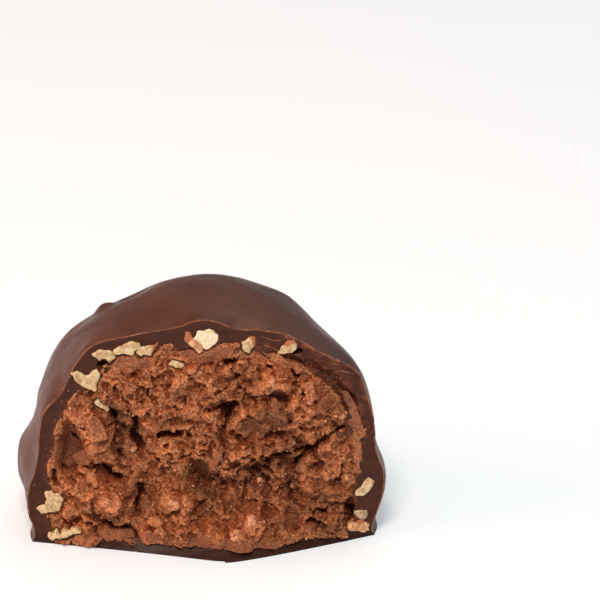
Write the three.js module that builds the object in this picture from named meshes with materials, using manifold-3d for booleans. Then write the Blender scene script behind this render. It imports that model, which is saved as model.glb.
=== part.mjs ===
// A cut piece of a filled chocolate nut cluster: a poured dome of dark chocolate with chopped
// hazelnuts in its wall, round a crumbly filling of cocoa and nut cream. A knife went down a
// little in front of the dome's middle, and the base broke away in a blunt tongue.
// Millimetres, +Z up. The origin is where the dome's own axis meets the flat base, and the cut
// face looks along -Y.

import * as THREE from 'three';
import Module from 'manifold-3d';
import { mergeVertices } from 'three/addons/utils/BufferGeometryUtils.js';

// ---- driving dimensions, mm ----

const CENTRE_Z = 7; // level at which the dome is widest
const SIDE_R = 21; // dome's radius there
const CROWN_R = 21.6; // from there up to the crown
const SKIRT_R = 24; // lower half's semi-axis: how slowly the side turns in towards the base
const FOOT_OUT = 1.25; // chocolate that ran out round the base
const FOOT_RISE = 0.6; // height over which the foot fades out

const CAVITY_SIDE_R = 19.1; // the filling's room in the shell, measured as the dome is
const CAVITY_CROWN_R = 18.1;
const CAVITY_SKIRT_R = 26;
const CAVITY_SQUARENESS = 2.3; // superellipse power: 2 is an ellipse, more is boxier
const BASE_THICKNESS = 1.3; // chocolate under the filling
const GAP = 0.3; // clearance between pieces that touch

const CUT_FRONT = 6.5; // the cut's distance in front of the dome's axis
const CUT_SKEW = 0.045; // the cut runs forward by this much per mm towards +X
const TONGUE_X = 1.8; // where the broken base sticks out furthest
const TONGUE_OUT = 6.9;
const TONGUE_ROUNDNESS = 0.06; // how blunt its tip is, as a part of its width
const TONGUE_FADE = 3.5; // height over which the tongue slopes back to the cut
const TONGUE_LEFT = { width: 22, power: 0.85 };
const TONGUE_RIGHT = { width: 18.6, power: 1.15 };

const NUT_PROUD = 0.15; // nuts stand this far out of the cut, as the blade drags past them
const SKIN = 0.2; // least chocolate between a nut's pocket and the dome's outside

const DOME_MESH = { columns: 64, rows: 18 };
const CAVITY_MESH = { columns: 44, rows: 13 };
const CUT_CELL = 1.6; // grid of the knife's cut through the shell
const CRUMB_CELL = 1.1; // grid of the filling's broken face

// ---- the dome's uneven outside ----

// Lumps where nuts lie under the skin or the coating ran thick: the way to the lump from the
// dome's centre, how far it rises, and its spread as a part of the dome's radius.
const LUMPS = [
  { towards: [17.6, -6.5, 13.6], rise: 1.7, spread: 0.2 },
  { towards: [20.6, -6.5, 0.8], rise: 1.2, spread: 0.2 },
  { towards: [-13.6, -6.5, 17], rise: 0.9, spread: 0.13 },
  { towards: [-21, -6.5, -1], rise: 0.6, spread: 0.13 },
  { towards: [-20.5, 1, 2.4], rise: 1.1, spread: 0.11 },
  { towards: [-20, 3, 6], rise: -1, spread: 0.13 },
  { towards: [-15, 7, 13.5], rise: 0.5, spread: 0.14 },
  { towards: [-10.6, 6, 17.4], rise: 0.9, spread: 0.055 },
  { towards: [-8, 6.5, 18.4], rise: -0.9, spread: 0.08 },
  { towards: [4, 8, 19], rise: 0.6, spread: 0.22 },
  { towards: [10.5, 6.5, 17], rise: 0.5, spread: 0.1 },
  { towards: [-20.3, -5.5, 2.6], rise: -0.8, spread: 0.12 },
  { towards: [-19, -5.6, 9.6], rise: 0.4, spread: 0.07 },
  { towards: [-16.3, -5.8, 12.6], rise: -0.3, spread: 0.06 },
  { towards: [-11.4, -5.8, 17], rise: 0.5, spread: 0.1 },
  { towards: [-3.6, -6.3, 20], rise: -0.4, spread: 0.08 },
  { towards: [0, -6.3, 20], rise: 0.3, spread: 0.06 },
  { towards: [3.8, -6.5, 19.6], rise: -0.5, spread: 0.05 },
  { towards: [9.5, -6.5, 17.6], rise: 0.6, spread: 0.09 },
  { towards: [16, -6.5, 12.3], rise: 0.6, spread: 0.08 },
  { towards: [18.2, -7, 8], rise: 0.3, spread: 0.08 },
  { towards: [19.6, -7, 3.6], rise: -0.4, spread: 0.08 },
  { towards: [15, 8, 6], rise: -0.5, spread: 0.3 },
  { towards: [20.2, -1.8, 4.4], rise: -1.5, spread: 0.12 },
  { towards: [20, -1.5, -5.4], rise: -0.6, spread: 0.1 },
  { towards: [-20, 0.5, -6.2], rise: -1.05, spread: 0.105 },
  { towards: [-20.5, 1, -1.4], rise: 0.35, spread: 0.06 },
  { towards: [-20.5, 0, 1.6], rise: -0.3, spread: 0.06 },
  { towards: [-19.5, 3, 8.2], rise: 0.35, spread: 0.06 },
  { towards: [-12.5, 6, 17.6], rise: -0.45, spread: 0.09 },
].map(({ towards, rise, spread }) => ({
  at: new THREE.Vector3(...towards).normalize(),
  rise,
  spread,
}));

// The rest of the dome is uneven in the same way: lumps spread evenly by the golden angle, with
// rises that look random but are always the same. They are low near the cut, which has its own.
const SPREAD_LUMPS = { count: 52, turn: 3.1, rise: 0.9, lowest: 0.35, spread: 0.2 };
const GOLDEN_ANGLE = 2.399963;
const NEAR_CUT = { y: 0.4, share: 0.3 };
for (let k = 0; k < SPREAD_LUMPS.count; k++) {
  const z = 1 - (2 * (k + 0.5)) / SPREAD_LUMPS.count;
  const ring = Math.sqrt(1 - z * z);
  const turn = k * GOLDEN_ANGLE + SPREAD_LUMPS.turn;
  const noise = Math.sin(k * 12.9898 + SPREAD_LUMPS.turn) * 43758.5453;
  const at = new THREE.Vector3(ring * Math.cos(turn), ring * Math.sin(turn), z);
  const share = at.y < NEAR_CUT.y ? NEAR_CUT.share : 1;
  const rise = (noise - Math.floor(noise) - SPREAD_LUMPS.lowest) * SPREAD_LUMPS.rise * share;
  LUMPS.push({ at, rise, spread: SPREAD_LUMPS.spread });
}

// Distance from the dome's centre to its surface along a unit direction.
function domeRadius(direction) {
  const across = Math.hypot(direction.x, direction.y);
  const upright = direction.z > 0 ? CROWN_R : SKIRT_R;
  let radius = 1 / Math.hypot(across / SIDE_R, direction.z / upright);
  for (const lump of LUMPS) {
    const away = direction.distanceToSquared(lump.at);
    radius += lump.rise * Math.exp(-away / (2 * lump.spread ** 2));
  }
  const height = Math.max(CENTRE_Z + radius * direction.z, 0);
  return radius + FOOT_OUT * Math.exp(-height / FOOT_RISE) * across;
}

// The same for the room inside the shell, less a clearance.
function cavityRadius(direction, clearance) {
  const across = Math.hypot(direction.x, direction.y);
  const upright = direction.z > 0 ? CAVITY_CROWN_R : CAVITY_SKIRT_R;
  const sideways = (across / CAVITY_SIDE_R) ** CAVITY_SQUARENESS;
  const lengthways = (Math.abs(direction.z) / upright) ** CAVITY_SQUARENESS;
  const unevenness = 0.25 * Math.sin(7 * direction.x + 3 * direction.y) * Math.sin(6 * direction.z + 1);
  return (sideways + lengthways) ** (-1 / CAVITY_SQUARENESS) + unevenness - clearance;
}

// ---- the cut ----

// Where the knife and the break left the shell: the piece is what lies behind this surface.
function cutY(x, z) {
  const side = x < TONGUE_X ? TONGUE_LEFT : TONGUE_RIGHT;
  const out = Math.hypot((x - TONGUE_X) / side.width, TONGUE_ROUNDNESS);
  const tongue = Math.max(1 - out ** side.power, 0);
  return -CUT_FRONT - CUT_SKEW * x - TONGUE_OUT * tongue * Math.exp(-Math.max(z, 0) / TONGUE_FADE);
}

// The filling tore instead of cutting: hollows and cracks run from one point to another in the
// cut's plane, [x, z], with a width and a depth. A negative depth is a clump that stands proud.
const CRUMBLE = [
  { from: [16.8, 15.6], to: [15.8, 13.2], width: 0.7, depth: 2.2 },
  { from: [15.8, 13.2], to: [12.2, 10.9], width: 0.9, depth: 2.4 },
  { from: [12.2, 10.9], to: [8.4, 10.6], width: 0.9, depth: 1.3 },
  { from: [8.4, 10.2], to: [4.6, 9.6], width: 0.9, depth: 1.2 },
  { from: [-16, 12.4], to: [-14.4, 11], width: 1.9, depth: 1.3 },
  { from: [-8.6, 14.4], to: [-7.4, 12.2], width: 0.7, depth: 2 },
  { from: [-5.4, 13.8], to: [-2.6, 13.5], width: 0.6, depth: 1.9 },
  { from: [2.4, 15.8], to: [4.4, 17], width: 0.8, depth: 1.6 },
  { from: [-12.6, 9.8], to: [-10.6, 8.6], width: 0.7, depth: 1.6 },
  { from: [-7.4, 7.2], to: [-6.8, 6], width: 0.8, depth: 1.1 },
  { from: [-9.6, 3.2], to: [-7.8, 2.1], width: 0.6, depth: 1.3 },
  { from: [16.9, 5.2], to: [17, 3.6], width: 0.8, depth: 2.2 },
  { from: [9.4, 6.6], to: [9.8, 5.2], width: 0.7, depth: 1 },
  { from: [-13.6, 16], to: [-12, 12.4], width: 1.5, depth: -0.9 },
  { from: [6, 14], to: [13, 15.6], width: 2.6, depth: -0.8 },
  { from: [14.6, 9.2], to: [16, 10.4], width: 1.8, depth: -0.6 },
  { from: [-3, 5], to: [1, 6.4], width: 2.4, depth: -0.5 },
  { from: [-6, 18], to: [0, 19.6], width: 2.2, depth: -0.4 },
];
const CRUMBLE_WAVES = [
  { height: 0.32, along: [0.9, 0.5], shift: 0.4 },
  { height: 0.26, along: [-0.7, 1.2], shift: 2.1 },
  { height: 0.2, along: [1.9, -0.8], shift: 4.3 },
];
const RIM_FADE = 0.1; // the relief dies out over this part of the filling's radius

// How far the broken face lies behind the cut at a point.
function crumbleDepth(x, z) {
  let depth = 0;
  for (const { from, to, width, depth: deepest } of CRUMBLE) {
    const run = [to[0] - from[0], to[1] - from[1]];
    const along = ((x - from[0]) * run[0] + (z - from[1]) * run[1]) / (run[0] ** 2 + run[1] ** 2);
    const nearest = THREE.MathUtils.clamp(along, 0, 1);
    const away = Math.hypot(x - from[0] - nearest * run[0], z - from[1] - nearest * run[1]);
    depth += deepest * Math.exp(-((away / width) ** 2));
  }
  for (const { height, along, shift } of CRUMBLE_WAVES) {
    depth += height * Math.sin(along[0] * x + along[1] * z + shift);
  }
  const spoke = new THREE.Vector3(x, cutY(x, z), z - CENTRE_Z);
  const distance = spoke.length();
  const edge = cavityRadius(spoke.divideScalar(distance), GAP);
  return depth * THREE.MathUtils.clamp((1 - distance / edge) / RIM_FADE, 0, 1);
}

// ---- the chopped nuts that the cut shows ----

// place is the piece's middle in the cut's plane, [x, z], size its length and width there, and
// turn the angle of its length from +X. depth is how far it reaches into the chocolate.
const NUTS = [
  { name: 'nut_crown', place: [0.5, 25.6], size: [2.6, 2.1], turn: 150, depth: 1.6, tint: 0xf0ddbd },
  { name: 'nut_crown_skin', place: [-1.5, 24.8], size: [3.0, 1.2], turn: 120, depth: 1.3, tint: 0xb5713f },
  { name: 'nut_crown_right', place: [5.0, 24.6], size: [1.9, 1.7], turn: 76, depth: 1.3, tint: 0xd9b384 },
  { name: 'nut_right_shoulder', place: [9.9, 24.1], size: [2.4, 1.4], turn: 42, depth: 1.3, tint: 0xcbaa7c },
  { name: 'nut_chain_left', place: [-11.6, 23.4], size: [2.5, 1.4], turn: 153, depth: 1.3, tint: 0xcba479 },
  { name: 'nut_chain_middle', place: [-8.9, 24.2], size: [3.0, 1.4], turn: 14, depth: 1.4, tint: 0xd4b080 },
  { name: 'nut_chain_right', place: [-6.1, 24.1], size: [2.5, 1.2], turn: 23, depth: 1.2, tint: 0xcba479 },
  { name: 'nut_left_shoulder', place: [-13.5, 20.8], size: [3.3, 2.4], turn: 150, depth: 1.7, tint: 0xcda978 },
  { name: 'nut_left_sliver', place: [-11.9, 17.4], size: [2.1, 0.9], turn: 137, depth: 0.9, tint: 0xcda978 },
  { name: 'nut_left_low', place: [-18.2, 4.8], size: [3.2, 2.4], turn: 59, depth: 1.5, tint: 0xe4b78a },
  { name: 'nut_left_corner', place: [-16.6, 1.2], size: [3.4, 1.0], turn: 2, depth: 0.9, tint: 0xc79e6c },
  { name: 'nut_filling_sliver', place: [-3.2, 22.2], size: [2.0, 0.9], turn: 169, depth: 0.9, tint: 0xc79e6c },
  { name: 'nut_right_high', place: [18.5, 6.0], size: [2.8, 1.5], turn: 37, depth: 1.4, tint: 0xb79b80 },
  { name: 'nut_right_dot', place: [18.4, 3.2], size: [1.5, 1.0], turn: 159, depth: 0.9, tint: 0xb79b80 },
  { name: 'nut_right_low', place: [17.9, 1.6], size: [2.4, 1.4], turn: 166, depth: 1.2, tint: 0xd9a679 },
];
const NUT_BACK = 0.25; // the middle of a nut lies this part of its depth behind the cut
const NUT_CHIPPED = 0.16; // how far its faces wander in and out, as a part of its size

// ---- helpers that turn shapes into solids ----

const wasm = await Module();
wasm.setup();

function toSolid(geometry) {
  const bare = geometry.clone();
  bare.deleteAttribute('normal');
  bare.deleteAttribute('uv');
  const merged = bare.index ? bare : mergeVertices(bare, 1e-4);
  const vertProperties = new Float32Array(merged.attributes.position.array);
  const triVerts = new Uint32Array(merged.index.array);
  return new wasm.Manifold(new wasm.Mesh({ numProp: 3, vertProperties, triVerts }));
}

function toGeometry(solid) {
  const { vertProperties, triVerts } = solid.getMesh();
  const geometry = new THREE.BufferGeometry();
  geometry.setAttribute('position', new THREE.Float32BufferAttribute(vertProperties, 3));
  geometry.setIndex(new THREE.BufferAttribute(triVerts, 1));
  return geometry;
}

function closedMesh(points, faces) {
  const geometry = new THREE.BufferGeometry();
  geometry.setAttribute('position', new THREE.Float32BufferAttribute(points.flat(), 3));
  geometry.setIndex(faces.flat());
  return geometry;
}

// A flat-bottomed dome: columns go round the Z axis, and rows go from the crown down to the
// height at which radiusAt's surface meets the floor.
function domeGeometry(radiusAt, floorZ, { columns, rows }) {
  const spoke = (polar, turn) => new THREE.Vector3().setFromSphericalCoords(1, polar, turn);
  const direction = (polar, turn) => {
    const yUp = spoke(polar, turn);
    return new THREE.Vector3(yUp.x, yUp.z, yUp.y);
  };
  const heightAt = (polar, turn) => {
    const way = direction(polar, turn);
    return CENTRE_Z + radiusAt(way) * way.z;
  };
  const points = [[0, 0, heightAt(0, 0)]];
  for (let column = 0; column < columns; column++) {
    const turn = (-2 * Math.PI * column) / columns;
    let [above, below] = [Math.PI / 2, Math.PI * 0.75];
    for (let step = 0; step < 40; step++) {
      const middle = (above + below) / 2;
      if (heightAt(middle, turn) > floorZ) {
        above = middle;
      } else {
        below = middle;
      }
    }
    for (let row = 1; row <= rows; row++) {
      const way = direction((above * row) / rows, turn);
      const point = way.clone().multiplyScalar(radiusAt(way));
      points.push([point.x, point.y, row === rows ? floorZ : CENTRE_Z + point.z]);
    }
  }
  points.push([0, 0, floorZ]);
  const index = (column, row) => 1 + (column % columns) * rows + row;
  const faces = [];
  for (let column = 0; column < columns; column++) {
    faces.push([0, index(column, 0), index(column + 1, 0)]);
    for (let row = 0; row < rows - 1; row++) {
      const [a, b] = [index(column, row), index(column, row + 1)];
      const [c, d] = [index(column + 1, row + 1), index(column + 1, row)];
      faces.push([a, b, c], [a, c, d]);
    }
    faces.push([points.length - 1, index(column + 1, rows - 1), index(column, rows - 1)]);
  }
  return closedMesh(points, faces);
}

// A block in front of the piece whose back is the surface y = surfaceY(x, z): what is taken away.
// Its grid has a line through the tongue's tip and one on the base plane.
function frontBlock(surfaceY, cell) {
  const [halfWidth, height, far] = [24, 32, -40];
  const across = 2 * Math.ceil(halfWidth / cell);
  const up = Math.ceil(height / cell) + 1;
  const points = [];
  for (const back of [true, false]) {
    for (let i = 0; i <= across; i++) {
      for (let k = 0; k <= up; k++) {
        const x = TONGUE_X + (i - across / 2) * cell;
        const z = (k - 1) * cell;
        points.push([x, back ? surfaceY(x, z) : far, z]);
      }
    }
  }
  const front = (across + 1) * (up + 1);
  const index = (i, k) => i * (up + 1) + k;
  const faces = [];
  for (let i = 0; i < across; i++) {
    for (let k = 0; k < up; k++) {
      const [a, b, c, d] = [index(i, k), index(i + 1, k), index(i + 1, k + 1), index(i, k + 1)];
      faces.push([a, c, b], [a, d, c]);
      faces.push([front + a, front + b, front + c], [front + a, front + c, front + d]);
    }
  }
  const edge = [];
  for (let i = 0; i < across; i++) edge.push(index(i, 0));
  for (let k = 0; k < up; k++) edge.push(index(across, k));
  for (let i = across; i > 0; i--) edge.push(index(i, up));
  for (let k = up; k > 0; k--) edge.push(index(0, k));
  edge.forEach((a, n) => {
    const b = edge[(n + 1) % edge.length];
    faces.push([a, b, front + b], [a, front + b, front + a]);
  });
  return closedMesh(points, faces);
}

// A chip of nut: a rounded lump with uneven faces, grown all round by the given clearance.
function nutGeometry({ place: [x, z], size: [length, width], turn, depth }, clearance) {
  const sphere = new THREE.IcosahedronGeometry(1, 1);
  sphere.deleteAttribute('normal');
  sphere.deleteAttribute('uv');
  const chip = mergeVertices(sphere, 1e-4);
  const position = chip.attributes.position;
  const point = new THREE.Vector3();
  for (let i = 0; i < position.count; i++) {
    point.fromBufferAttribute(position, i);
    const wander = Math.sin(3.1 * point.x + x) * Math.sin(2.7 * point.y + z) + Math.sin(4 * point.z + x + z);
    point.multiplyScalar(1 + (NUT_CHIPPED * wander) / 2);
    point.multiply(new THREE.Vector3(length / 2 + clearance, depth + clearance, width / 2 + clearance));
    position.setXYZ(i, point.x, point.y, point.z);
  }
  chip.rotateY(-THREE.MathUtils.degToRad(turn));
  chip.translate(x, cutY(x, z) + NUT_BACK * depth, z);
  return chip;
}

// ---- the pieces ----

const cluster = new THREE.Group();

function addPiece(name, solid, color, roughness) {
  const material = new THREE.MeshStandardMaterial({ color, roughness, metalness: 0 });
  const mesh = new THREE.Mesh(toGeometry(solid), material);
  mesh.name = name;
  cluster.add(mesh);
}

const knife = toSolid(frontBlock(cutY, CUT_CELL));
const crumbFace = (x, z) => cutY(x, z) + crumbleDepth(x, z);
const nutFace = (x, z) => cutY(x, z) - NUT_PROUD;

let shell = toSolid(domeGeometry(domeRadius, 0, DOME_MESH));
shell = shell.subtract(toSolid(domeGeometry((way) => cavityRadius(way, 0), BASE_THICKNESS, CAVITY_MESH)));
shell = shell.subtract(knife);

const core = domeGeometry((way) => cavityRadius(way, GAP), BASE_THICKNESS + GAP, CAVITY_MESH);
let filling = toSolid(core).subtract(toSolid(frontBlock(crumbFace, CRUMB_CELL)));

const nutTrim = toSolid(frontBlock(nutFace, CUT_CELL));
const underSkin = (depth) => toSolid(domeGeometry((way) => domeRadius(way) - depth, 0, DOME_MESH));
const pocketRoom = underSkin(SKIN);
const nutRoom = underSkin(SKIN + GAP);
const pockets = [];
for (const nut of NUTS) {
  const pocket = toSolid(nutGeometry(nut, GAP)).intersect(pocketRoom);
  let chip = toSolid(nutGeometry(nut, 0)).intersect(nutRoom).subtract(nutTrim);
  for (const neighbour of pockets) {
    chip = chip.subtract(neighbour);
  }
  shell = shell.subtract(pocket);
  filling = filling.subtract(pocket);
  pockets.push(pocket);
  addPiece(nut.name, chip, nut.tint, 0.6);
}

addPiece('shell', shell, 0x4f2f25, 0.42);
addPiece('filling', filling, 0x7b4228, 0.85);

export default cluster;
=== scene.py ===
"""A cut piece of a chocolate nut cluster: a dark chocolate dome with chopped hazelnuts in its wall,
round a crumbly filling of cocoa and nut cream. Sizes are in millimetres until a mesh is made."""
import math

import bmesh
import bpy
import numpy as np
from mathutils import Matrix, Vector


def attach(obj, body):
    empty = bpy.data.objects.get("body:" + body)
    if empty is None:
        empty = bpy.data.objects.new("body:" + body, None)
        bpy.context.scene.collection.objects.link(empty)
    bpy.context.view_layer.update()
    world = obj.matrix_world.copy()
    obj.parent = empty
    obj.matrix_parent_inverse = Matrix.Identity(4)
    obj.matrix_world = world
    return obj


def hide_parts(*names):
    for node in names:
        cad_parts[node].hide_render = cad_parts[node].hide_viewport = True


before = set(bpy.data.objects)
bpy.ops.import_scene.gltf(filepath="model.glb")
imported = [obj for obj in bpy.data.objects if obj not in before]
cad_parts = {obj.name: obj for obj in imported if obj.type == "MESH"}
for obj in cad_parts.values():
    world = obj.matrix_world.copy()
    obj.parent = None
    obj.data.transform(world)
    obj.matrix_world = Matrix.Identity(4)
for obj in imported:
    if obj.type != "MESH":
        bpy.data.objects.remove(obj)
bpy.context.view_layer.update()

MM = 0.001

# ---------------------------------------------------------------------------
# Camera, table and studio light
# A long lens looks at the cut face from a little above and from the left. The table is a white
# paper sweep. A soft box in front lights the cut, a broad one behind gives the dome its sheen, a
# warm card stands close on the left, and the room's back right corner is dark and a little cool.
# ---------------------------------------------------------------------------

CAMERA_AZIMUTH = math.radians(-5.5)
CAMERA_ELEVATION = math.radians(23)
CAMERA_DISTANCE = 450.0
PICTURE_WIDTH = 70.2  # what the picture takes in at that distance
SENSOR = 36.0
LOOK_AT = Vector((0, -4, 11))  # a point on the cut face, which lies low and left in the picture
LOOK_RIGHT = 11.35  # the picture's middle lies this far to the right of that point
LOOK_UP = 16.85

back = Vector((
    math.sin(CAMERA_AZIMUTH) * math.cos(CAMERA_ELEVATION),
    -math.cos(CAMERA_AZIMUTH) * math.cos(CAMERA_ELEVATION),
    math.sin(CAMERA_ELEVATION),
))
right = Vector((math.cos(CAMERA_AZIMUTH), math.sin(CAMERA_AZIMUTH), 0))
up = back.cross(right)
eye = LOOK_AT + back * CAMERA_DISTANCE + right * LOOK_RIGHT + up * LOOK_UP


def new_object(name, data):
    """An object of the scene that holds data, such as a mesh, a light or a curve."""
    made = bpy.data.objects.new(name, data)
    bpy.context.scene.collection.objects.link(made)
    return made


camera_data = bpy.data.cameras.new("camera")
camera_data.sensor_width = SENSOR
camera_data.lens = SENSOR * CAMERA_DISTANCE / PICTURE_WIDTH
camera_data.clip_start = 0.01
camera = new_object("camera", camera_data)
camera.matrix_world = Matrix.Translation(eye * MM) @ Matrix((right, up, back)).transposed().to_4x4()
bpy.context.scene.camera = camera


def linear(hex_colour):
    """sRGB hex, such as "#c08040", as the linear RGBA that Blender's sockets take."""
    shares = [int(hex_colour[i:i + 2], 16) / 255 for i in (1, 3, 5)]
    return [s / 12.92 if s <= 0.04045 else ((s + 0.055) / 1.055) ** 2.4 for s in shares] + [1.0]


def feed(tree, node, links):
    """Sets a node's inputs, each to a value, to a hex colour, or to the socket that feeds it."""
    for name, value in links.items():
        if isinstance(value, bpy.types.NodeSocket):
            tree.links.new(value, node.inputs[name])
        elif isinstance(value, str) and value.startswith("#"):
            node.inputs[name].default_value = linear(value)
        else:
            node.inputs[name].default_value = value


def add(tree, kind, settings=None, links=None):
    """Adds a node with its settings, and feeds its inputs."""
    made = tree.nodes.new(kind)
    for name, value in (settings or {}).items():
        setattr(made, name, value)
    feed(tree, made, links or {})
    return made


def new_material(name):
    """An empty material with a Principled shader wired to its output."""
    material = bpy.data.materials.new(name)
    material.use_nodes = True
    tree = material.node_tree
    tree.nodes.clear()
    shader = add(tree, "ShaderNodeBsdfPrincipled")
    add(tree, "ShaderNodeOutputMaterial", {}, {"Surface": shader.outputs["BSDF"]})
    return material, tree, shader


# A Mix node that mixes colours, and the numbers of its sockets for that.
COLOURS, SHARE, COLOUR_A, COLOUR_B, MIXED = {"data_type": "RGBA"}, 0, 6, 7, 2

TABLE_HALF = 1.5  # metres
table_corners = [(x * TABLE_HALF, y * TABLE_HALF, 0) for x, y in ((-1, -1), (1, -1), (1, 1), (-1, 1))]
table_mesh = bpy.data.meshes.new("table")
table_mesh.from_pydata(table_corners, [], [(0, 1, 2, 3)])
table = new_object("table", table_mesh)

# White paper: dull, and glowing a little, so that it stays white to its far edge.
paper, tree, shader = new_material("white_paper_sweep")
feed(tree, shader, {"Base Color": "#d0dce6", "Roughness": 0.9, "Specular IOR Level": 0.1,
                    "Emission Color": "#e8f5ff", "Emission Strength": 0.26})
table_mesh.materials.append(paper)

LIGHTS = [  # name, place and aim in metres, width and height, watts and colour
    ("key_box", (-0.08, -0.30, 0.46), (0, -0.004, 0.012), (0.16, 0.16), 2.3, "#fff0e0"),
    ("top_box", (0.12, 0.16, 0.50), (0, 0, 0.012), (0.30, 0.30), 0.82, "#ffe2cc"),
    ("left_card", (-0.42, 0.02, 0.12), (0, 0, 0.012), (0.40, 0.30), 2.1, "#ffb287"),
    ("right_wall", (0.34, 0.30, 0.24), (0, 0, 0.015), (0.30, 0.30), 0.25, "#a4c8d8"),
]
for name, place, aim, size, watts, colour in LIGHTS:
    light_data = bpy.data.lights.new(name, "AREA")
    light_data.shape = "RECTANGLE"
    light_data.size, light_data.size_y = size
    light_data.energy = watts
    light_data.color = linear(colour)[:3]
    light = new_object(name, light_data)
    light.location = place
    light.rotation_euler = (Vector(aim) - Vector(place)).to_track_quat("-Z", "Y").to_euler()

TO_DARK_CORNER = (0.8, 0.6, 0.0)
world = bpy.data.worlds.new("studio")
world.use_nodes = True
sky = world.node_tree
direction = add(sky, "ShaderNodeTexCoord").outputs["Generated"]
towards_corner = add(sky, "ShaderNodeVectorMath", {"operation": "DOT_PRODUCT"}, {
    0: direction, 1: TO_DARK_CORNER}).outputs["Value"]
corner_share = add(sky, "ShaderNodeMapRange", {}, {
    "Value": towards_corner, "From Min": 0.78, "From Max": 0.93}).outputs[0]
sky_colour = add(sky, "ShaderNodeMix", COLOURS, {
    SHARE: corner_share, COLOUR_A: "#fffaf4", COLOUR_B: "#2f3e47"}).outputs[MIXED]
feed(sky, sky.nodes["Background"], {"Color": sky_colour, "Strength": 0.34})
bpy.context.scene.world = world
bpy.context.scene.view_settings.view_transform = "Standard"

# ---------------------------------------------------------------------------
# Chocolate shell
# Dark chocolate poured over the filling and set: a dome about 3.5 mm thick at the crown and 2 mm
# at the sides, with soft lumps where nuts lie under it, a foot where it ran out on the base, and
# a smooth cut face whose outer edge the knife scraped into a thin pale lip.
# ---------------------------------------------------------------------------

CENTRE_Z = 7.0  # level at which the dome is widest
SIDE_R, CROWN_R, SKIRT_R = 21.0, 21.6, 24.0  # the dome's radii: across, up and down
FOOT_OUT, FOOT_RISE = 1.25, 0.6  # how far the foot runs out, and how high it starts
CAVITY_SIDE_R, CAVITY_CROWN_R, CAVITY_SKIRT_R = 19.1, 18.1, 26.0
CAVITY_SQUARENESS = 2.3
BASE_THICKNESS = 1.3
CUT_FRONT, CUT_SKEW = 6.5, 0.045  # the cut lies this far in front of the axis, a little skew
TONGUE_X, TONGUE_OUT, TONGUE_FADE = 1.8, 6.9, 3.5  # where the base juts out, how far and how high
TONGUE_ROUNDNESS = 0.06
TONGUE_LEFT = (22.0, 0.85)  # width and power
TONGUE_RIGHT = (18.6, 1.15)
FAR = 99.0  # farther than any part of the piece

# The way to each lump from the dome's centre, how far it rises, and its spread as a share of
# the dome's radius.
LUMPS = [
    ((17.6, -6.5, 13.6), 1.7, 0.2),
    ((20.6, -6.5, 0.8), 1.2, 0.2),
    ((-13.6, -6.5, 17), 0.9, 0.13),
    ((-21, -6.5, -1), 0.6, 0.13),
    ((-20.5, 1, 2.4), 1.1, 0.11),
    ((-20, 3, 6), -1, 0.13),
    ((-15, 7, 13.5), 0.5, 0.14),
    ((-10.6, 6, 17.4), 0.9, 0.055),
    ((-8, 6.5, 18.4), -0.9, 0.08),
    ((4, 8, 19), 0.6, 0.22),
    ((10.5, 6.5, 17), 0.5, 0.1),
    ((-20.3, -5.5, 2.6), -0.8, 0.12),
    ((-19, -5.6, 9.6), 0.4, 0.07),
    ((-16.3, -5.8, 12.6), -0.3, 0.06),
    ((-11.4, -5.8, 17), 0.5, 0.1),
    ((-3.6, -6.3, 20), -0.4, 0.08),
    ((0, -6.3, 20), 0.3, 0.06),
    ((3.8, -6.5, 19.6), -0.5, 0.05),
    ((9.5, -6.5, 17.6), 0.6, 0.09),
    ((16, -6.5, 12.3), 0.6, 0.08),
    ((18.2, -7, 8), 0.3, 0.08),
    ((19.6, -7, 3.6), -0.4, 0.08),
    ((15, 8, 6), -0.5, 0.3),
    ((20.2, -1.8, 4.4), -1.5, 0.12),
    ((20, -1.5, -5.4), -0.6, 0.1),
    ((-20, 0.5, -6.2), -1.05, 0.105),
    ((-20.5, 1, -1.4), 0.35, 0.06),
    ((-20.5, 0, 1.6), -0.3, 0.06),
    ((-19.5, 3, 8.2), 0.35, 0.06),
    ((-12.5, 6, 17.6), -0.45, 0.09),
]

# Fainter lumps evenly over the whole dome, faintest towards the cut.
EVEN_LUMPS, GOLDEN_ANGLE = 52, 2.399963
for k in range(EVEN_LUMPS):
    z = 1 - 2 * (k + 0.5) / EVEN_LUMPS
    turn = k * GOLDEN_ANGLE + 3.1
    ring = math.sqrt(1 - z * z)
    way = (ring * math.cos(turn), ring * math.sin(turn), z)
    chance = math.sin(k * 12.9898 + 3.1) * 43758.5453
    share = 0.3 if way[1] < 0.4 else 1
    LUMPS.append((way, (chance - math.floor(chance) - 0.35) * 0.9 * share, 0.2))


def unit(v):
    """Vectors with a length of 1."""
    return v / np.linalg.norm(v, axis=-1, keepdims=True)


def scrambled(x, y, z, salt):
    """A whole number of 32 bits for each cell of a grid, always the same, that looks random."""
    h = (x * 374761393 + y * 668265263 + z * 2246822519 + salt) & 0xFFFFFFFF
    for shift, factor in ((15, 2246822519), (13, 3266489917)):
        h = ((h ^ (h >> shift)) * factor) & 0xFFFFFFFF
    return h ^ (h >> 16)


def value_noise(points, size, seed):
    """Smooth noise from -1 to 1 at each point, with bumps about size across."""
    turned = points @ np.array([[0.8, 0.6, 0], [-0.48, 0.64, 0.6], [0.36, -0.48, 0.8]]).T
    p = turned / size + 31.7 * seed
    cell = np.floor(p).astype(np.int64)
    f = p - cell
    f = f * f * f * (f * (f * 6 - 15) + 10)
    total = np.zeros(points.shape[:-1])
    for corner in range(8):
        step = [corner & 1, corner >> 1 & 1, corner >> 2 & 1]
        weight = np.ones(points.shape[:-1])
        for i in range(3):
            weight = weight * (f[..., i] if step[i] else 1 - f[..., i])
        drawn = scrambled(*[cell[..., i] + step[i] for i in range(3)], seed * 3266489917)
        total += weight * ((drawn & 0xFFFF) / 32767.5 - 1)
    return total


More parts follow.
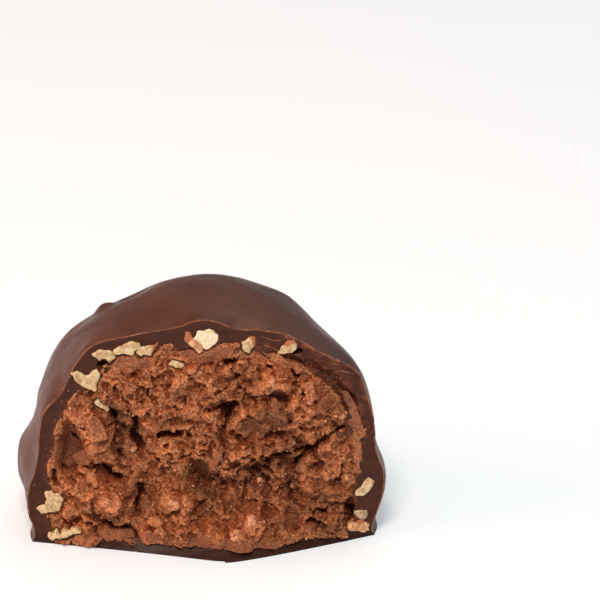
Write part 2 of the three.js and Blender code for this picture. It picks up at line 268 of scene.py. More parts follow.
def fractal(points, size, octaves, seed):
    """Noise with finer and fainter bumps on the larger ones."""
    total = 0
    for octave in range(octaves):
        total = total + value_noise(points, size / 2 ** octave, seed + octave) / 2 ** octave
    return total


def dome_radius(way):
    """Distance from the dome's centre to its outside along unit directions."""
    across = np.hypot(way[..., 0], way[..., 1])
    upright = np.where(way[..., 2] > 0, CROWN_R, SKIRT_R)
    radius = 1 / np.hypot(across / SIDE_R, way[..., 2] / upright)
    for towards, rise, spread in LUMPS:
        away = ((way - unit(np.array(towards, float))) ** 2).sum(-1)
        radius = radius + rise * np.exp(-away / (2 * spread ** 2))
    height = np.maximum(CENTRE_Z + radius * way[..., 2], 0)
    return radius + FOOT_OUT * np.exp(-height / FOOT_RISE) * across


def cavity_radius(way):
    """The same for the room inside the shell."""
    across = np.hypot(way[..., 0], way[..., 1])
    upright = np.where(way[..., 2] > 0, CAVITY_CROWN_R, CAVITY_SKIRT_R)
    power = CAVITY_SQUARENESS
    even = ((across / CAVITY_SIDE_R) ** power + (np.abs(way[..., 2]) / upright) ** power) ** (-1 / power)
    even = even + 0.25 * np.sin(7 * way[..., 0] + 3 * way[..., 1]) * np.sin(6 * way[..., 2] + 1)
    return even + 0.28 * value_noise(way * SIDE_R, 3.1, 61) + 0.12 * value_noise(way * SIDE_R, 1.1, 62)


def cut_y(x, z):
    """Where the knife and the break went: the piece lies behind this surface."""
    width = np.where(x < TONGUE_X, TONGUE_LEFT[0], TONGUE_RIGHT[0])
    power = np.where(x < TONGUE_X, TONGUE_LEFT[1], TONGUE_RIGHT[1])
    out = np.hypot((x - TONGUE_X) / width, TONGUE_ROUNDNESS)
    tongue = np.maximum(1 - out ** power, 0)
    return -CUT_FRONT - CUT_SKEW * x - TONGUE_OUT * tongue * np.exp(-np.maximum(z, 0) / TONGUE_FADE)


def meets(inside, low, high):
    """Bisects, for each entry, to the largest value between low and high that is still inside."""
    for _ in range(40):
        middle = (low + high) / 2
        keep = inside(middle)
        low, high = np.where(keep, middle, low), np.where(keep, high, middle)
    return low


def outermost(inside, turns):
    """The largest distance from the dome's centre, at each of the turns, that is still inside."""
    return meets(inside, 0 * turns, 0 * turns + 40)


def section_point(reach, turn):
    """A point of the cut at a distance and an angle from the dome's centre, seen from in front."""
    x, z = reach * np.cos(turn), CENTRE_Z + reach * np.sin(turn)
    return np.stack([x, cut_y(x, z), z], -1)


def from_centre(point):
    """The way from the dome's centre to a point, as long as the distance."""
    return point - np.array([0, 0, CENTRE_Z])


def is_inside(point, radius_at):
    """Whether a point lies inside dome_radius or cavity_radius."""
    spoke = from_centre(point)
    return np.linalg.norm(spoke, axis=-1) < radius_at(unit(spoke))


def fan(pole, edge, shares):
    """Directions from the dome's centre that turn from a pole, at share 0, to the points of an
    edge, at share 1, and the angle that each still has to go to its edge."""
    edge_way = unit(from_centre(edge))
    angle = np.arccos(np.clip(edge_way @ pole, -1, 1))
    bend = shares[:, None] * angle
    ways = unit(np.sin(angle - bend)[..., None] * pole + np.sin(bend)[..., None] * edge_way)
    return ways.reshape(-1, 3), (angle - bend).ravel()


def back_of_room(edge, shares, into_wall=0.0):
    """Points on the wall and floor of the room, or a little in them, that fan back from an edge to
    one point in the middle of its back."""
    ways = np.concatenate([fan(BACK_WAY, edge, shares)[0], [BACK_WAY]])
    to_floor = (CENTRE_Z - BASE_THICKNESS + into_wall) / np.maximum(-ways[:, 2], 1e-6)
    reach = np.minimum(cavity_radius(ways) + into_wall, np.where(ways[:, 2] < 0, to_floor, FAR))
    return ways * reach[:, None] + np.array([0, 0, CENTRE_Z])


def evenly(points, count):
    """count points at even steps along a polyline, both ends included."""
    run = np.concatenate([[0], np.cumsum(np.linalg.norm(np.diff(points, axis=0), axis=1))])
    at = np.linspace(0, run[-1], count)
    return np.stack([np.interp(at, run, points[:, i]) for i in range(3)], -1)


def grid_faces(rows, columns, start=0):
    """Quads between rows of a grid of points, whose last column joins its first."""
    r, c = np.meshgrid(np.arange(rows - 1), np.arange(columns), indexing="ij")
    n = (c + 1) % columns
    return start + np.stack([r * columns + c, r * columns + n, (r + 1) * columns + n,
                             (r + 1) * columns + c], -1).reshape(-1, 4)


def make_mesh(name, points, faces, attributes=None):
    """A piece from millimetre points, faces and named numbers for each point."""
    mesh = bpy.data.meshes.new(name)
    mesh.from_pydata((points * MM).tolist(), [], faces)
    for label, values in (attributes or {}).items():
        made = mesh.attributes.new(label, "FLOAT", "POINT")
        made.data.foreach_set("value", np.asarray(values, np.float32))
    mesh.shade_smooth()
    return new_object(name, mesh)


def away_from(x, z, route):
    """Distance in the cut's plane from a route of straight stretches."""
    nearest = FAR
    for (x0, z0), (x1, z1) in zip(route, route[1:]):
        run_x, run_z = x1 - x0, z1 - z0
        along = np.clip(((x - x0) * run_x + (z - z0) * run_z) / (run_x ** 2 + run_z ** 2), 0, 1)
        nearest = np.minimum(nearest, np.hypot(x - x0 - along * run_x, z - z0 - along * run_z))
    return nearest


def out_of_oval(x, z, middle, half):
    """0 in the middle of an oval in the cut's plane, 1 on its edge and more outside it."""
    return np.hypot((x - middle[0]) / half[0], (z - middle[1]) / half[1])


RIM_POINTS, FOOT_POINTS, TONGUE_POINTS = 300, 300, 170
EDGE_SAMPLES = 2000  # the edges are followed this finely before they are divided evenly

# The two corners where the foot meets the cut, and the three edges between them.
corner_x = meets(lambda x: is_inside(np.stack([x, cut_y(x, 0 * x), 0 * x], -1), dome_radius),
                 np.array([0.0, 0.0]), np.array([-30.0, 30.0]))
left_turn, right_turn = [math.atan2(-CENTRE_Z, x) % (2 * math.pi) for x in corner_x]
turns = np.linspace(left_turn, right_turn - 2 * math.pi, EDGE_SAMPLES)
reach = outermost(lambda r: is_inside(section_point(r, turns), dome_radius), turns)
rim = evenly(section_point(reach, turns), RIM_POINTS)

corner_turns = [math.atan2(cut_y(x, 0.0), x) for x in corner_x[::-1]]
turns = np.linspace(corner_turns[0], corner_turns[1] + 2 * math.pi, EDGE_SAMPLES)


def foot_point(reach):
    """Points on the table at a distance from the axis, one for each of the turns."""
    return np.stack([reach * np.cos(turns), reach * np.sin(turns), 0 * turns], -1)


foot = evenly(foot_point(outermost(lambda r: is_inside(foot_point(r), dome_radius), turns)), FOOT_POINTS)
x = np.linspace(corner_x[1], corner_x[0], EDGE_SAMPLES)
tongue = evenly(np.stack([x, cut_y(x, 0 * x), 0 * x], -1), TONGUE_POINTS)

# Outside: fans from a point high on the back to the rim and the foot, finest towards the rim.
FAN_ROWS = 96
LIP_RISE, LIP_WIDTH = 0.12, 0.22
FAN_POLE = unit(np.array([0, 0.75, 0.66]))
edge = np.concatenate([rim, foot[1:-1]])
ways, left_to_go = fan(FAN_POLE, edge, 1 - (1 - np.linspace(0, 1, FAN_ROWS)[1:]) ** 1.9)
ways = np.concatenate([FAN_POLE[None], ways])
from_edge = np.concatenate([[FAR], left_to_go * SIDE_R])
is_rim = np.concatenate([[0], np.tile(np.arange(len(edge)) < RIM_POINTS, FAN_ROWS - 1)])
surface = ways * SIDE_R
lip_size = 0.6 + 0.7 * value_noise(surface, 1.3, 5) + 0.5 * value_noise(surface, 0.5, 6)
lip = is_rim * LIP_RISE * np.clip(lip_size, 0.1, 2) * np.exp(-(from_edge / LIP_WIDTH) ** 2)
relief = 0.10 * fractal(surface, 6.5, 2, 1) + 0.025 * fractal(surface, 1.6, 2, 3)
fade = np.clip(from_edge / 1.5, 0, 1)
outside = ways * (dome_radius(ways) + lip + relief * (0.3 + 0.7 * fade))[:, None]
outside[:, 2] = np.maximum(outside[:, 2] + CENTRE_Z, 0)
last_row = outside[-len(edge):]
last_row[RIM_POINTS - 1:, 2] = 0
last_row[0, 2] = 0
scrape_outside = is_rim * np.clip(lip_size, 0.15, 1) * np.exp(-(from_edge / (LIP_WIDTH * 0.55)) ** 2)
columns = len(edge)
pole_faces = [(0, 1 + c, 1 + (c + 1) % columns) for c in range(columns)]
outside_faces = pole_faces + grid_faces(FAN_ROWS - 1, columns, 1).tolist()

# Cut band: from the rim and the tongue's edge in to the filling. The blade left faint drag marks,
# a hole where air was caught beside a nut, and smears of paste near the filling.
BAND_ROWS = 22
AIR_HOLES = [  # middle, half sizes and depth
    ((10.8, 23.7), (0.62, 0.36), 1.4),
    ((-11.6, 22.5), (0.6, 0.45), 1.2),
]
CHIPPED_EDGES = [  # where the wall broke away beside the filling: route, width and depth
    ([(9.4, 22.6), (11.8, 22), (13.9, 20.5), (15.8, 18.6), (16.8, 17)], 0.75, 0.9),
]
BAND_SMEARS = [  # middle and half sizes
    ((6.6, 24.6), (0.9, 0.6)),
    ((12.4, 22.6), (1.5, 0.5)),
    ((14.4, 21.2), (1.2, 0.8)),
    ((16.2, 19.2), (0.9, 1.2)),
    ((17.8, 16.2), (0.7, 1.5)),
    ((18.6, 13.2), (0.5, 1.4)),
    ((-13, 18.9), (0.9, 0.7)),
    ((-6.8, 23.4), (2.2, 0.4)),
]
outer_loop = np.concatenate([last_row[:RIM_POINTS], tongue[1:-1]])
loop_way = unit(from_centre(outer_loop)[:, [0, 2]])
loop_turn = np.arctan2(loop_way[:, 1], loop_way[:, 0])
cavity_reach = outermost(lambda r: is_inside(section_point(r, loop_turn), cavity_radius), loop_turn)
floor_reach = (CENTRE_Z - BASE_THICKNESS) / np.maximum(-loop_way[:, 1], 1e-6)
inner_reach = np.minimum(cavity_reach, np.where(loop_way[:, 1] < 0, floor_reach, FAR))
inner_loop = section_point(inner_reach, loop_turn)
step = np.linspace(0, 1, BAND_ROWS)[:, None] ** 1.3
band = outer_loop + step[..., None] * (inner_loop - outer_loop)
depth_in = np.linalg.norm(band - outer_loop, axis=-1)
band[1:, :, 1] = cut_y(band[1:, :, 0], band[1:, :, 2])

# How far each point lies in behind the plain cut: drag marks, air holes, the chipped edge and,
# the other way, the lip.
drag = 0.03 * fractal(band * np.array([0.35, 1, 2.4]), 1.1, 3, 11) + 0.045 * fractal(band, 2.2, 2, 14)
inward = drag * np.clip(depth_in / 0.4, 0, 1)
for middle, half, depth in AIR_HOLES:
    out = out_of_oval(band[..., 0], band[..., 2], middle, half)
    inward += depth * np.clip(1.6 - 1.3 * out, 0, 1)
chipped = 0 * depth_in
for route, width, depth in CHIPPED_EDGES:
    out = away_from(band[..., 0], band[..., 2], route) / width
    share = np.clip(1.3 - out + 0.7 * value_noise(band, 0.8, 20), 0, 1)
    inward += share * (depth + 0.3 * fractal(band, 0.8, 2, 22))
    chipped = np.maximum(chipped, share)
lip_band = np.clip(0.6 + 0.7 * value_noise(outer_loop, 1.3, 5), 0.1, 1.6)
lip_band *= np.clip((outer_loop[:, 2] - 0.8) / 0.8, 0, 1)
inward -= 0.05 * lip_band * np.exp(-((depth_in - 0.1) / 0.12) ** 2)
band[1:, :, 1] += inward[1:]

# Where paste is smeared on the band, where crumbs lie on it, and where the blade scraped its edge.
smear = 0 * depth_in
for middle, half in BAND_SMEARS:
    out = out_of_oval(band[..., 0], band[..., 2], middle, half)
    smear = np.maximum(smear, 0.8 * np.clip(1.5 - out, 0, 1))
to_filling = np.linalg.norm(band - inner_loop, axis=-1)
smear = np.maximum(smear, np.exp(-(to_filling / 0.45) ** 2))
smear = np.maximum(smear, 0.9 * chipped)
dust = np.clip(0.5 + 1.2 * value_noise(band, 2.0, 17), 0, 1) * np.exp(-to_filling / 0.7)
dust += 0.35 * np.clip(value_noise(band, 1.1, 18), 0, 1) + 0.25 * np.exp(-(depth_in / 0.2) ** 2)
dust += 1.2 * chipped
wide_lip = np.clip((outer_loop[:, 0] - 7) / 3, 0, 1) * np.clip((outer_loop[:, 2] - 15) / 3, 0, 1)
scraped_in = np.clip(0.5 + value_noise(band * np.array([1, 1, 1.6]), 0.9, 19), 0, 1)
lip_reach = 0.10 + 0.45 * wide_lip * scraped_in
scrape_band = np.exp(-(depth_in / lip_reach) ** 2) * np.minimum(lip_band, 1)
band_columns = len(outer_loop)
band_faces = grid_faces(BAND_ROWS, band_columns)[:, ::-1].tolist()

# Room for the filling: from the band's inner edge to the back.
ROOM_ROWS = 14
BACK_WAY = np.array([0, 1.0, 0])
room = back_of_room(inner_loop, 1 - np.linspace(0, 1, ROOM_ROWS)[:-1])
room[:band_columns] = band[-1]
room_faces = grid_faces(ROOM_ROWS - 1, band_columns)[:, ::-1].tolist()
last = (ROOM_ROWS - 2) * band_columns
room_faces += [(last + (c + 1) % band_columns, last + c, len(room) - 1) for c in range(band_columns)]

# Underside: flat, from the foot and the tongue's edge in to the middle.
BASE_SHARES = np.array([1, 0.99, 0.9, 0.75, 0.5, 0.25])
base_loop = np.concatenate([last_row[RIM_POINTS - 1:], last_row[:1], tongue[-2:0:-1]])
under = np.concatenate([(base_loop * BASE_SHARES[:, None, None]).reshape(-1, 3), [[0, 0, 0]]])
under_columns = len(base_loop)
under_faces = grid_faces(len(BASE_SHARES), under_columns).tolist()
last = (len(BASE_SHARES) - 1) * under_columns
under_faces += [(last + c, last + (c + 1) % under_columns, len(under) - 1) for c in range(under_columns)]

# The four surfaces meet along shared edges and are welded into one closed shell.
SKIN, CUT = 0, 1  # the two finishes, in the order of the shell's material slots
sheets = [
    (outside, outside_faces, SKIN, {"scrape": scrape_outside}),
    (band.reshape(-1, 3), band_faces, CUT, {"scrape": scrape_band, "smear": smear, "loose": dust}),
    (room, room_faces, CUT, {}),
    (under, under_faces, SKIN, {}),
]
faces, finishes, start = [], [], 0
for sheet_points, sheet_faces, finish, _ in sheets:
    faces += [tuple(i + start for i in face) for face in sheet_faces]
    finishes += [finish] * len(sheet_faces)
    start += len(sheet_points)
attributes = {label: np.concatenate([s[3].get(label, np.zeros(len(s[0]))).ravel() for s in sheets])
              for label in ("scrape", "smear", "loose")}
shell = make_mesh("chocolate_shell", np.concatenate([s[0] for s in sheets]), faces, attributes)
shell.data.polygons.foreach_set("material_index", finishes)
welded = bmesh.new()
welded.from_mesh(shell.data)
bmesh.ops.remove_doubles(welded, verts=welded.verts, dist=0.002 * MM)
bmesh.ops.recalc_face_normals(welded, faces=welded.faces)
welded.to_mesh(shell.data)
welded.free()

# Dark chocolate, poured and set: satin, with a broad sheen that flow marks make uneven and a fine
# orange-peel grain. That is really about 0.1 mm and too fine to show, so it is drawn at 0.35 mm.
# Where the blade scraped the lip it is paler and redder.
poured, tree, shader = new_material("dark_chocolate_poured")
place = add(tree, "ShaderNodeTexCoord").outputs["Object"]
flattened = add(tree, "ShaderNodeMapping", {}, {"Vector": place, "Scale": (1, 1, 0.6)}).outputs[0]
flow = add(tree, "ShaderNodeTexNoise", {}, {
    "Vector": flattened, "Scale": 1 / (7 * MM), "Detail": 3, "Distortion": 0.4}).outputs[0]
flow_share = add(tree, "ShaderNodeMapRange", {}, {
    "Value": flow, "From Min": 0.35, "From Max": 0.65}).outputs[0]
scraped = add(tree, "ShaderNodeAttribute", {"attribute_name": "scrape"}).outputs["Fac"]
colour = "#42241a"
for share, over in ((flow_share, "#4f2c1f"), (scraped, "#84502f")):
    colour = add(tree, "ShaderNodeMix", COLOURS, {
        SHARE: share, COLOUR_A: colour, COLOUR_B: over}).outputs[MIXED]
bloom, fine, broad = [add(tree, "ShaderNodeTexNoise", {}, {
    "Vector": place, "Scale": 1 / (size * MM), "Detail": detail}).outputs[0]
    for size, detail in ((3.5, 4), (0.35, 2), (1.4, 2))]
dullness = add(tree, "ShaderNodeMapRange", {}, {
    "Value": bloom, "From Min": 0.35, "From Max": 0.65, "To Min": 0.36, "To Max": 0.5}).outputs[0]
peel = add(tree, "ShaderNodeMath", {"operation": "MULTIPLY_ADD"}, {0: fine, 1: 0.25, 2: broad}).outputs[0]
bump = add(tree, "ShaderNodeBump", {}, {"Height": peel, "Distance": 0.05 * MM}).outputs[0]
feed(tree, shader, {"Base Color": colour, "Roughness": dullness, "IOR": 1.46,
                    "Specular IOR Level": 0.35, "Normal": bump})
shell.data.materials.append(poured)

# The same chocolate where the blade went through: darker, drawn along in faint streaks, with a
# thin film of the filling beside it. The streaks are finer than 0.1 mm in fact and would not show,
# so they are drawn at 0.9 mm. Towards the bottom it is darkened to near black, a painted shade.
cut_through, tree, shader = new_material("dark_chocolate_cut")
place = add(tree, "ShaderNodeTexCoord").outputs["Object"]
drawn = add(tree, "ShaderNodeMapping", {}, {"Vector": place, "Scale": (0.5, 1, 1.3)}).outputs[0]
streaks, film = [add(tree, "ShaderNodeTexNoise", {}, {
    "Vector": drawn, "Scale": 1 / (size * MM), "Detail": 4}).outputs[0] for size in (0.9, 0.42)]
height = add(tree, "ShaderNodeSeparateXYZ", {}, {0: place}).outputs[2]
streak_share, painted_low_shade_share, film_share, dullness = [add(tree, "ShaderNodeMapRange", {}, {
    "Value": value, "From Min": low, "From Max": high, "To Min": to_low, "To Max": to_high}).outputs[0]
    for value, low, high, to_low, to_high in (
        (streaks, 0.35, 0.7, 0, 1), (height, 1.6 * MM, 0.7 * MM, 0, 0.75),
        (film, 0.45, 0.6, 0, 1), (streaks, 0.3, 0.7, 0.34, 0.5))]
smear_here, scraped = [add(tree, "ShaderNodeAttribute", {"attribute_name": label}).outputs["Fac"]
                       for label in ("smear", "scrape")]
smeared = add(tree, "ShaderNodeMath", {"operation": "MULTIPLY", "use_clamp": True}, {
    0: smear_here, 1: film_share}).outputs[0]
colour = "#3b1a0e"
# Painted shade: the face is darkened towards the bottom, to near black.
for share, over in ((streak_share, "#482415"), (painted_low_shade_share, "#260f08"), (smeared, "#6e3824"),
                    (scraped, "#84502f")):
    colour = add(tree, "ShaderNodeMix", COLOURS, {
        SHARE: share, COLOUR_A: colour, COLOUR_B: over}).outputs[MIXED]
bump = add(tree, "ShaderNodeBump", {}, {"Height": streaks, "Distance": 0.05 * MM}).outputs[0]
feed(tree, shader, {"Base Color": colour, "Roughness": dullness, "IOR": 1.46,
                    "Specular IOR Level": 0.22, "Normal": bump})
shell.data.materials.append(cut_through)
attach(shell, "root")
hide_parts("shell")

# ---------------------------------------------------------------------------
# Chopped hazelnuts
# Roasted hazelnut chopped into splinters and dropped into the soft chocolate. The knife cut them
# or dragged them a little out of the face: pale flesh with torn edges, and brown skin on a side.
# ---------------------------------------------------------------------------

NUT_GRID = 0.09
NUT_PROUD = 0.2  # they stand this far out of the cut
NUT_EDGE, NUT_BACK_EDGE = 0.16, 0.5  # rounding of their edges in front and behind
NUT_MARGIN = 0.35  # their grids reach this far past their outlines,
NUT_FRONT, NUT_BEHIND = -0.55, 0.3  # out to here in front of the cut, and this far past their backs
NUT_STEP = 5.3  # each takes its edges from another place in the noise
# The outline of each in the cut's plane, how deep it reaches, its flesh, and the side that has
# skin on it as an angle from +X, or None.
NUTS = {
    "nut_crown": ([(-1, 25.6), (-0.5, 26.4), (0.3, 26.6), (1.1, 26.6), (1.5, 25.9), (1.4, 25), (0.9, 24.5),
                   (0.3, 24.3), (-0.3, 24.9), (-0.8, 25.3)], 1.5, "white", None),
    "nut_crown_skin": ([(-2, 26.3), (-1.6, 26.3), (-1.2, 25.6), (-0.7, 25.1), (-0.3, 24.6), (-0.2, 24.1),
                        (-0.5, 23.9), (-1, 24.4), (-1.6, 24.9), (-2, 25.4)], 1.1, "roasted", 140),
    "nut_crown_right": ([(4.4, 25), (4.9, 25.1), (5.5, 25.7), (5.9, 25.6), (5.9, 24.8), (5.5, 24.2),
                         (5.2, 23.7), (4.7, 24.1)], 1.1, "cream", 40),
    "nut_right_shoulder": ([(8.7, 23.7), (9.1, 24.4), (9.6, 24.9), (10.4, 25.1), (10.8, 24.6),
                            (10.6, 24.1), (9.9, 23.6), (9.2, 23.5)], 1.1, "cream", 100),
    "nut_chain_left": ([(-12.7, 23.9), (-12, 24.3), (-11, 24.3), (-10.4, 24), (-10.2, 23.4), (-10.8, 22.8),
                        (-11.1, 23.3), (-11.6, 23.3), (-12, 23.1), (-12.3, 23.5)], 1.0, "cream", None),
    "nut_chain_middle": ([(-10.3, 24.1), (-9.8, 24.6), (-9, 25.1), (-8.1, 25.3), (-7.4, 25.1), (-7.3, 24.7),
                          (-7.9, 24.2), (-8.3, 23.8), (-8.9, 23.9), (-9.6, 24.1), (-10.1, 23.8)],
                         1.1, "cream", None),
    "nut_chain_right": ([(-7.7, 24), (-7.1, 24.7), (-6.4, 24.8), (-5.6, 24.9), (-5.3, 25.2), (-5.3, 24.8),
                         (-5.8, 24.3), (-6.1, 23.7), (-6.8, 23.8), (-7.2, 23.5)], 1.0, "cream", 10),
    "nut_left_shoulder": ([(-15.2, 21.6), (-14.6, 21.9), (-14.1, 21.5), (-13.7, 21.1), (-13.1, 21.2),
                           (-12.7, 21.7), (-12.3, 21.9), (-12.1, 21.3), (-12.3, 20.4), (-12.6, 19.4),
                           (-13.3, 19.6), (-14.1, 20.1), (-14.8, 20.8)], 1.4, "cream", None),
    "nut_left_sliver": ([(-12.6, 17.9), (-12.2, 18.1), (-11.6, 17.5), (-11, 16.8), (-11.3, 16.7),
                         (-12, 17.2), (-12.5, 17.7)], 0.6, "cream", None),
    "nut_left_low": ([(-18.5, 6.5), (-17.9, 6.6), (-17.8, 6.1), (-17, 6.2), (-16.7, 5.4), (-17, 4.1),
                      (-17.9, 4), (-19.1, 3.8), (-19.5, 4.4), (-18.7, 4.8), (-18.4, 5.6)],
                     1.3, "cream", None),
    "nut_left_corner": ([(-18.4, 0.8), (-18.2, 1.3), (-17.7, 1.2), (-17.4, 1.6), (-17.2, 1.1), (-16.9, 1.1),
                         (-16.6, 1.8), (-16, 1.6), (-15.6, 1.9), (-14.9, 1.9), (-14.6, 1.6), (-15.4, 1.4),
                         (-15.9, 1.1), (-16.6, 0.9), (-17.1, 0.7), (-17.6, 0.8), (-18, 0.5)],
                        0.8, "cream", None),
    "nut_filling_sliver": ([(-4, 22.4), (-3.6, 22.9), (-3.1, 22.7), (-2.3, 22.3), (-2.7, 22), (-3.4, 22.2),
                            (-3.9, 22.3)], 0.7, "cream", None),
    "nut_right_high": ([(19.8, 6.9), (19.1, 7.3), (18.6, 7), (18.2, 6.2), (17.6, 5.7), (17.7, 5.3),
                        (18.5, 5.1), (19.2, 5.7), (19.6, 6.4)], 1.1, "cream", None),
    "nut_right_dot": ([(17.6, 3.2), (18.2, 3.2), (19, 3.2), (18.9, 2.6), (18.5, 2.3), (18, 2.6)],
                      0.8, "grey", None),
    "nut_right_low": ([(16.7, 1.6), (17.4, 2), (18.3, 2.1), (19.2, 1.5), (19, 0.9), (18.7, 0.5),
                       (17.9, 0.9), (17.2, 1.1), (16.7, 1.3)], 1.0, "roasted", 80),
}


def inside_outline(x, z, outline):
    """Distance inside a closed outline, below 0 outside it."""
    outline = np.array(outline)
    ring = np.concatenate([outline, outline[:1]])
    crossings = np.zeros(x.shape, int)
    for (x0, z0), (x1, z1) in zip(ring, ring[1:]):
        spans = (z0 > z) != (z1 > z)
        meets_at = x0 + (z - z0) * (x1 - x0) / (z1 - z0 if z1 != z0 else 1)
        crossings += spans & (x < meets_at)
    return np.where(crossings % 2 == 1, 1, -1) * away_from(x, z, ring)


def surface_net(field, lowest, step):
    """Quads where a field on a grid of points is 0, facing out of where it is above 0."""
    inside = field > 0
    shape = np.array(field.shape)
    filled = sum(inside[i:shape[0] - 1 + i, j:shape[1] - 1 + j, k:shape[2] - 1 + k].astype(np.int8)
                 for i in (0, 1) for j in (0, 1) for k in (0, 1))
    mixed = (filled > 0) & (filled < 8)
    cells = np.argwhere(mixed)
    number = np.full(mixed.shape, -1)
    number[mixed] = np.arange(len(cells))
    total, crossings = np.zeros((len(cells), 3)), np.zeros(len(cells))
    for axis in range(3):
        along = np.eye(3, dtype=int)[axis]
        others = np.eye(3, dtype=int)[[a for a in range(3) if a != axis]]
        for i in (0, 1):
            for j in (0, 1):
                start = i * others[0] + j * others[1]
                near = field[tuple((cells + start).T)]
                far = field[tuple((cells + start + along).T)]
                crosses = (near > 0) != (far > 0)
                share = np.where(crosses, near / np.where(crosses, near - far, 1), 0)
                total += crosses[:, None] * (start + share[:, None] * along)
                crossings += crosses
    points = lowest + step * (cells + total / crossings[:, None])
    quads = []
    for axis in range(3):
        along = np.eye(3, dtype=int)[axis]
        u, v = np.eye(3, dtype=int)[(axis + 1) % 3], np.eye(3, dtype=int)[(axis + 2) % 3]
        near = inside[tuple(slice(0, shape[a] - along[a]) for a in range(3))]
        far = inside[tuple(slice(along[a], None) for a in range(3))]
        edges = np.argwhere(near != far)
        edges = edges[((edges >= u + v).all(1)) & ((edges < shape - 1).all(1))]
        leaving = near[tuple(edges.T)]
        round_edge = [edges - a * u - b * v for a, b in ((1, 1), (0, 1), (0, 0), (1, 0))]
        quad = np.stack([number[tuple(cell.T)] for cell in round_edge], 1)
        quads.append(np.where(leaving[:, None], quad, quad[:, ::-1]))
    return points, np.concatenate(quads), cells


def blurred(values, reach):
    """Mean over a cube of points reaching that many points each way."""
    for axis in range(3):
        padding = [(0, 0)] * 3
        padding[axis] = (reach + 1, reach)
        run = np.cumsum(np.pad(values, padding, mode="edge"), axis=axis)
        length = values.shape[axis]
        values = (np.take(run, np.arange(2 * reach + 1, 2 * reach + 1 + length), axis)
                  - np.take(run, np.arange(length), axis)) / (2 * reach + 1)
    return values


def soft_min(a, b, blend):
    """The lower of two fields, with their meeting edge rounded."""
    overlap = np.maximum(blend - np.abs(a - b), 0) / blend
    return np.minimum(a, b) - overlap ** 2 * blend / 4


# Hazelnut flesh: dry, oily and slightly see-through, with fine grooves along the tear and a
# browner roast here and there. The grooves are really about 0.1 mm apart and too fine to show, so
# they are drawn at 0.22 mm. The skin is a thin brown paper.
NUT_COLOURS = {
    "white": ("#f0dfc6", "#dabf95"),
    "cream": ("#d6c198", "#b08a5e"),
    "grey": ("#bda685", "#907353"),
    "roasted": ("#deb088", "#b4764a"),
}
nut_finish = {}
for tone, (flesh, roast) in NUT_COLOURS.items():
    nut_finish[tone], tree, shader = new_material("hazelnut_" + tone)
    place = add(tree, "ShaderNodeTexCoord").outputs["Object"]
    roasting = add(tree, "ShaderNodeTexNoise", {}, {
        "Vector": place, "Scale": 1 / (0.7 * MM), "Detail": 5, "Roughness": 0.6,
        "Distortion": 0.8}).outputs[0]
    close_here, skin_here = [add(tree, "ShaderNodeAttribute", {"attribute_name": label}).outputs["Fac"]
                             for label in ("close_in", "skin")]
    # Painted shade: the flesh turns brown where it is closed in, in its hollows and creases.
    roast_share, painted_hollow_shade_share = [add(tree, "ShaderNodeMapRange", {}, {
        "Value": value, "From Min": low, "From Max": high}).outputs[0]
        for value, low, high in ((roasting, 0.42, 0.62), (close_here, 0.56, 0.72))]
    colour = flesh
    for share, over in ((roast_share, roast), (painted_hollow_shade_share, "#7a4526"), (skin_here, "#a5623a")):
        colour = add(tree, "ShaderNodeMix", COLOURS, {
            SHARE: share, COLOUR_A: colour, COLOUR_B: over}).outputs[MIXED]
    along_tear = add(tree, "ShaderNodeMapping", {}, {"Vector": place, "Scale": (0.4, 1, 1.3)}).outputs[0]
    grooves = add(tree, "ShaderNodeTexNoise", {}, {
        "Vector": along_tear, "Scale": 1 / (0.22 * MM), "Detail": 3}).outputs[0]
    bump = add(tree, "ShaderNodeBump", {}, {"Height": grooves, "Distance": 0.09 * MM}).outputs[0]
    feed(tree, shader, {
        "Base Color": colour, "Roughness": 0.5, "Specular IOR Level": 0.4, "Subsurface Weight": 0.15,
        "Subsurface Radius": (1.0, 0.7, 0.4), "Subsurface Scale": 0.5 * MM, "Normal": bump})

for order, (name, (outline, reach_in, tone, skin_side)) in enumerate(NUTS.items()):
    corners = np.array(outline)
    (x0, z0), (x1, z1) = corners.min(0) - NUT_MARGIN, corners.max(0) + NUT_MARGIN
    runs = [np.arange(low, high, NUT_GRID)
            for low, high in ((x0, x1), (NUT_FRONT, reach_in + NUT_BEHIND), (z0, z1))]
    grid_x, grid_v, grid_z = np.meshgrid(*runs, indexing="ij")
    place = np.stack([grid_x, grid_v, grid_z], -1) + NUT_STEP * order
    torn = 0.1 + 0.11 * value_noise(place, 0.8, 71) + 0.08 * value_noise(place, 0.35, 72)
    side = inside_outline(grid_x + 0.07 * value_noise(place, 0.5, 73), grid_z, outline) + torn
    front = grid_v + NUT_PROUD + 0.12 * value_noise(place, 1.3, 74) + 0.05 * value_noise(place, 0.4, 75)
    nut_field = soft_min(soft_min(side, front, NUT_EDGE), reach_in - grid_v, NUT_BACK_EDGE)
    for wall in (0, -1):
        nut_field[wall], nut_field[:, wall], nut_field[:, :, wall] = -1, -1, -1
    lowest = np.array([run[0] for run in runs])
    nut_points, nut_quads, nut_cells = surface_net(nut_field, lowest, NUT_GRID)
    # How closed in each point is by the nut round it; the nut's material paints shade by it.
    close = blurred((nut_field > 0).astype(np.float32), 2)[tuple(nut_cells.T)]
    skin = 0 * close
    if skin_side is not None:
        turn = math.radians(skin_side)
        away = (nut_points[:, [0, 2]] - corners.mean(0)) @ [math.cos(turn), math.sin(turn)]
        skin = np.clip((away - 0.3 + 0.3 * value_noise(nut_points, 0.6, 76)) / 0.25, 0, 1)
    nut_points[:, 1] += cut_y(nut_points[:, 0], nut_points[:, 2])
    nut = make_mesh("hazel" + name, nut_points, nut_quads.tolist(), {"close_in": close, "skin": skin})
    nut.data.materials.append(nut_finish[tone])
    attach(nut, "root")
    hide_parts(name)

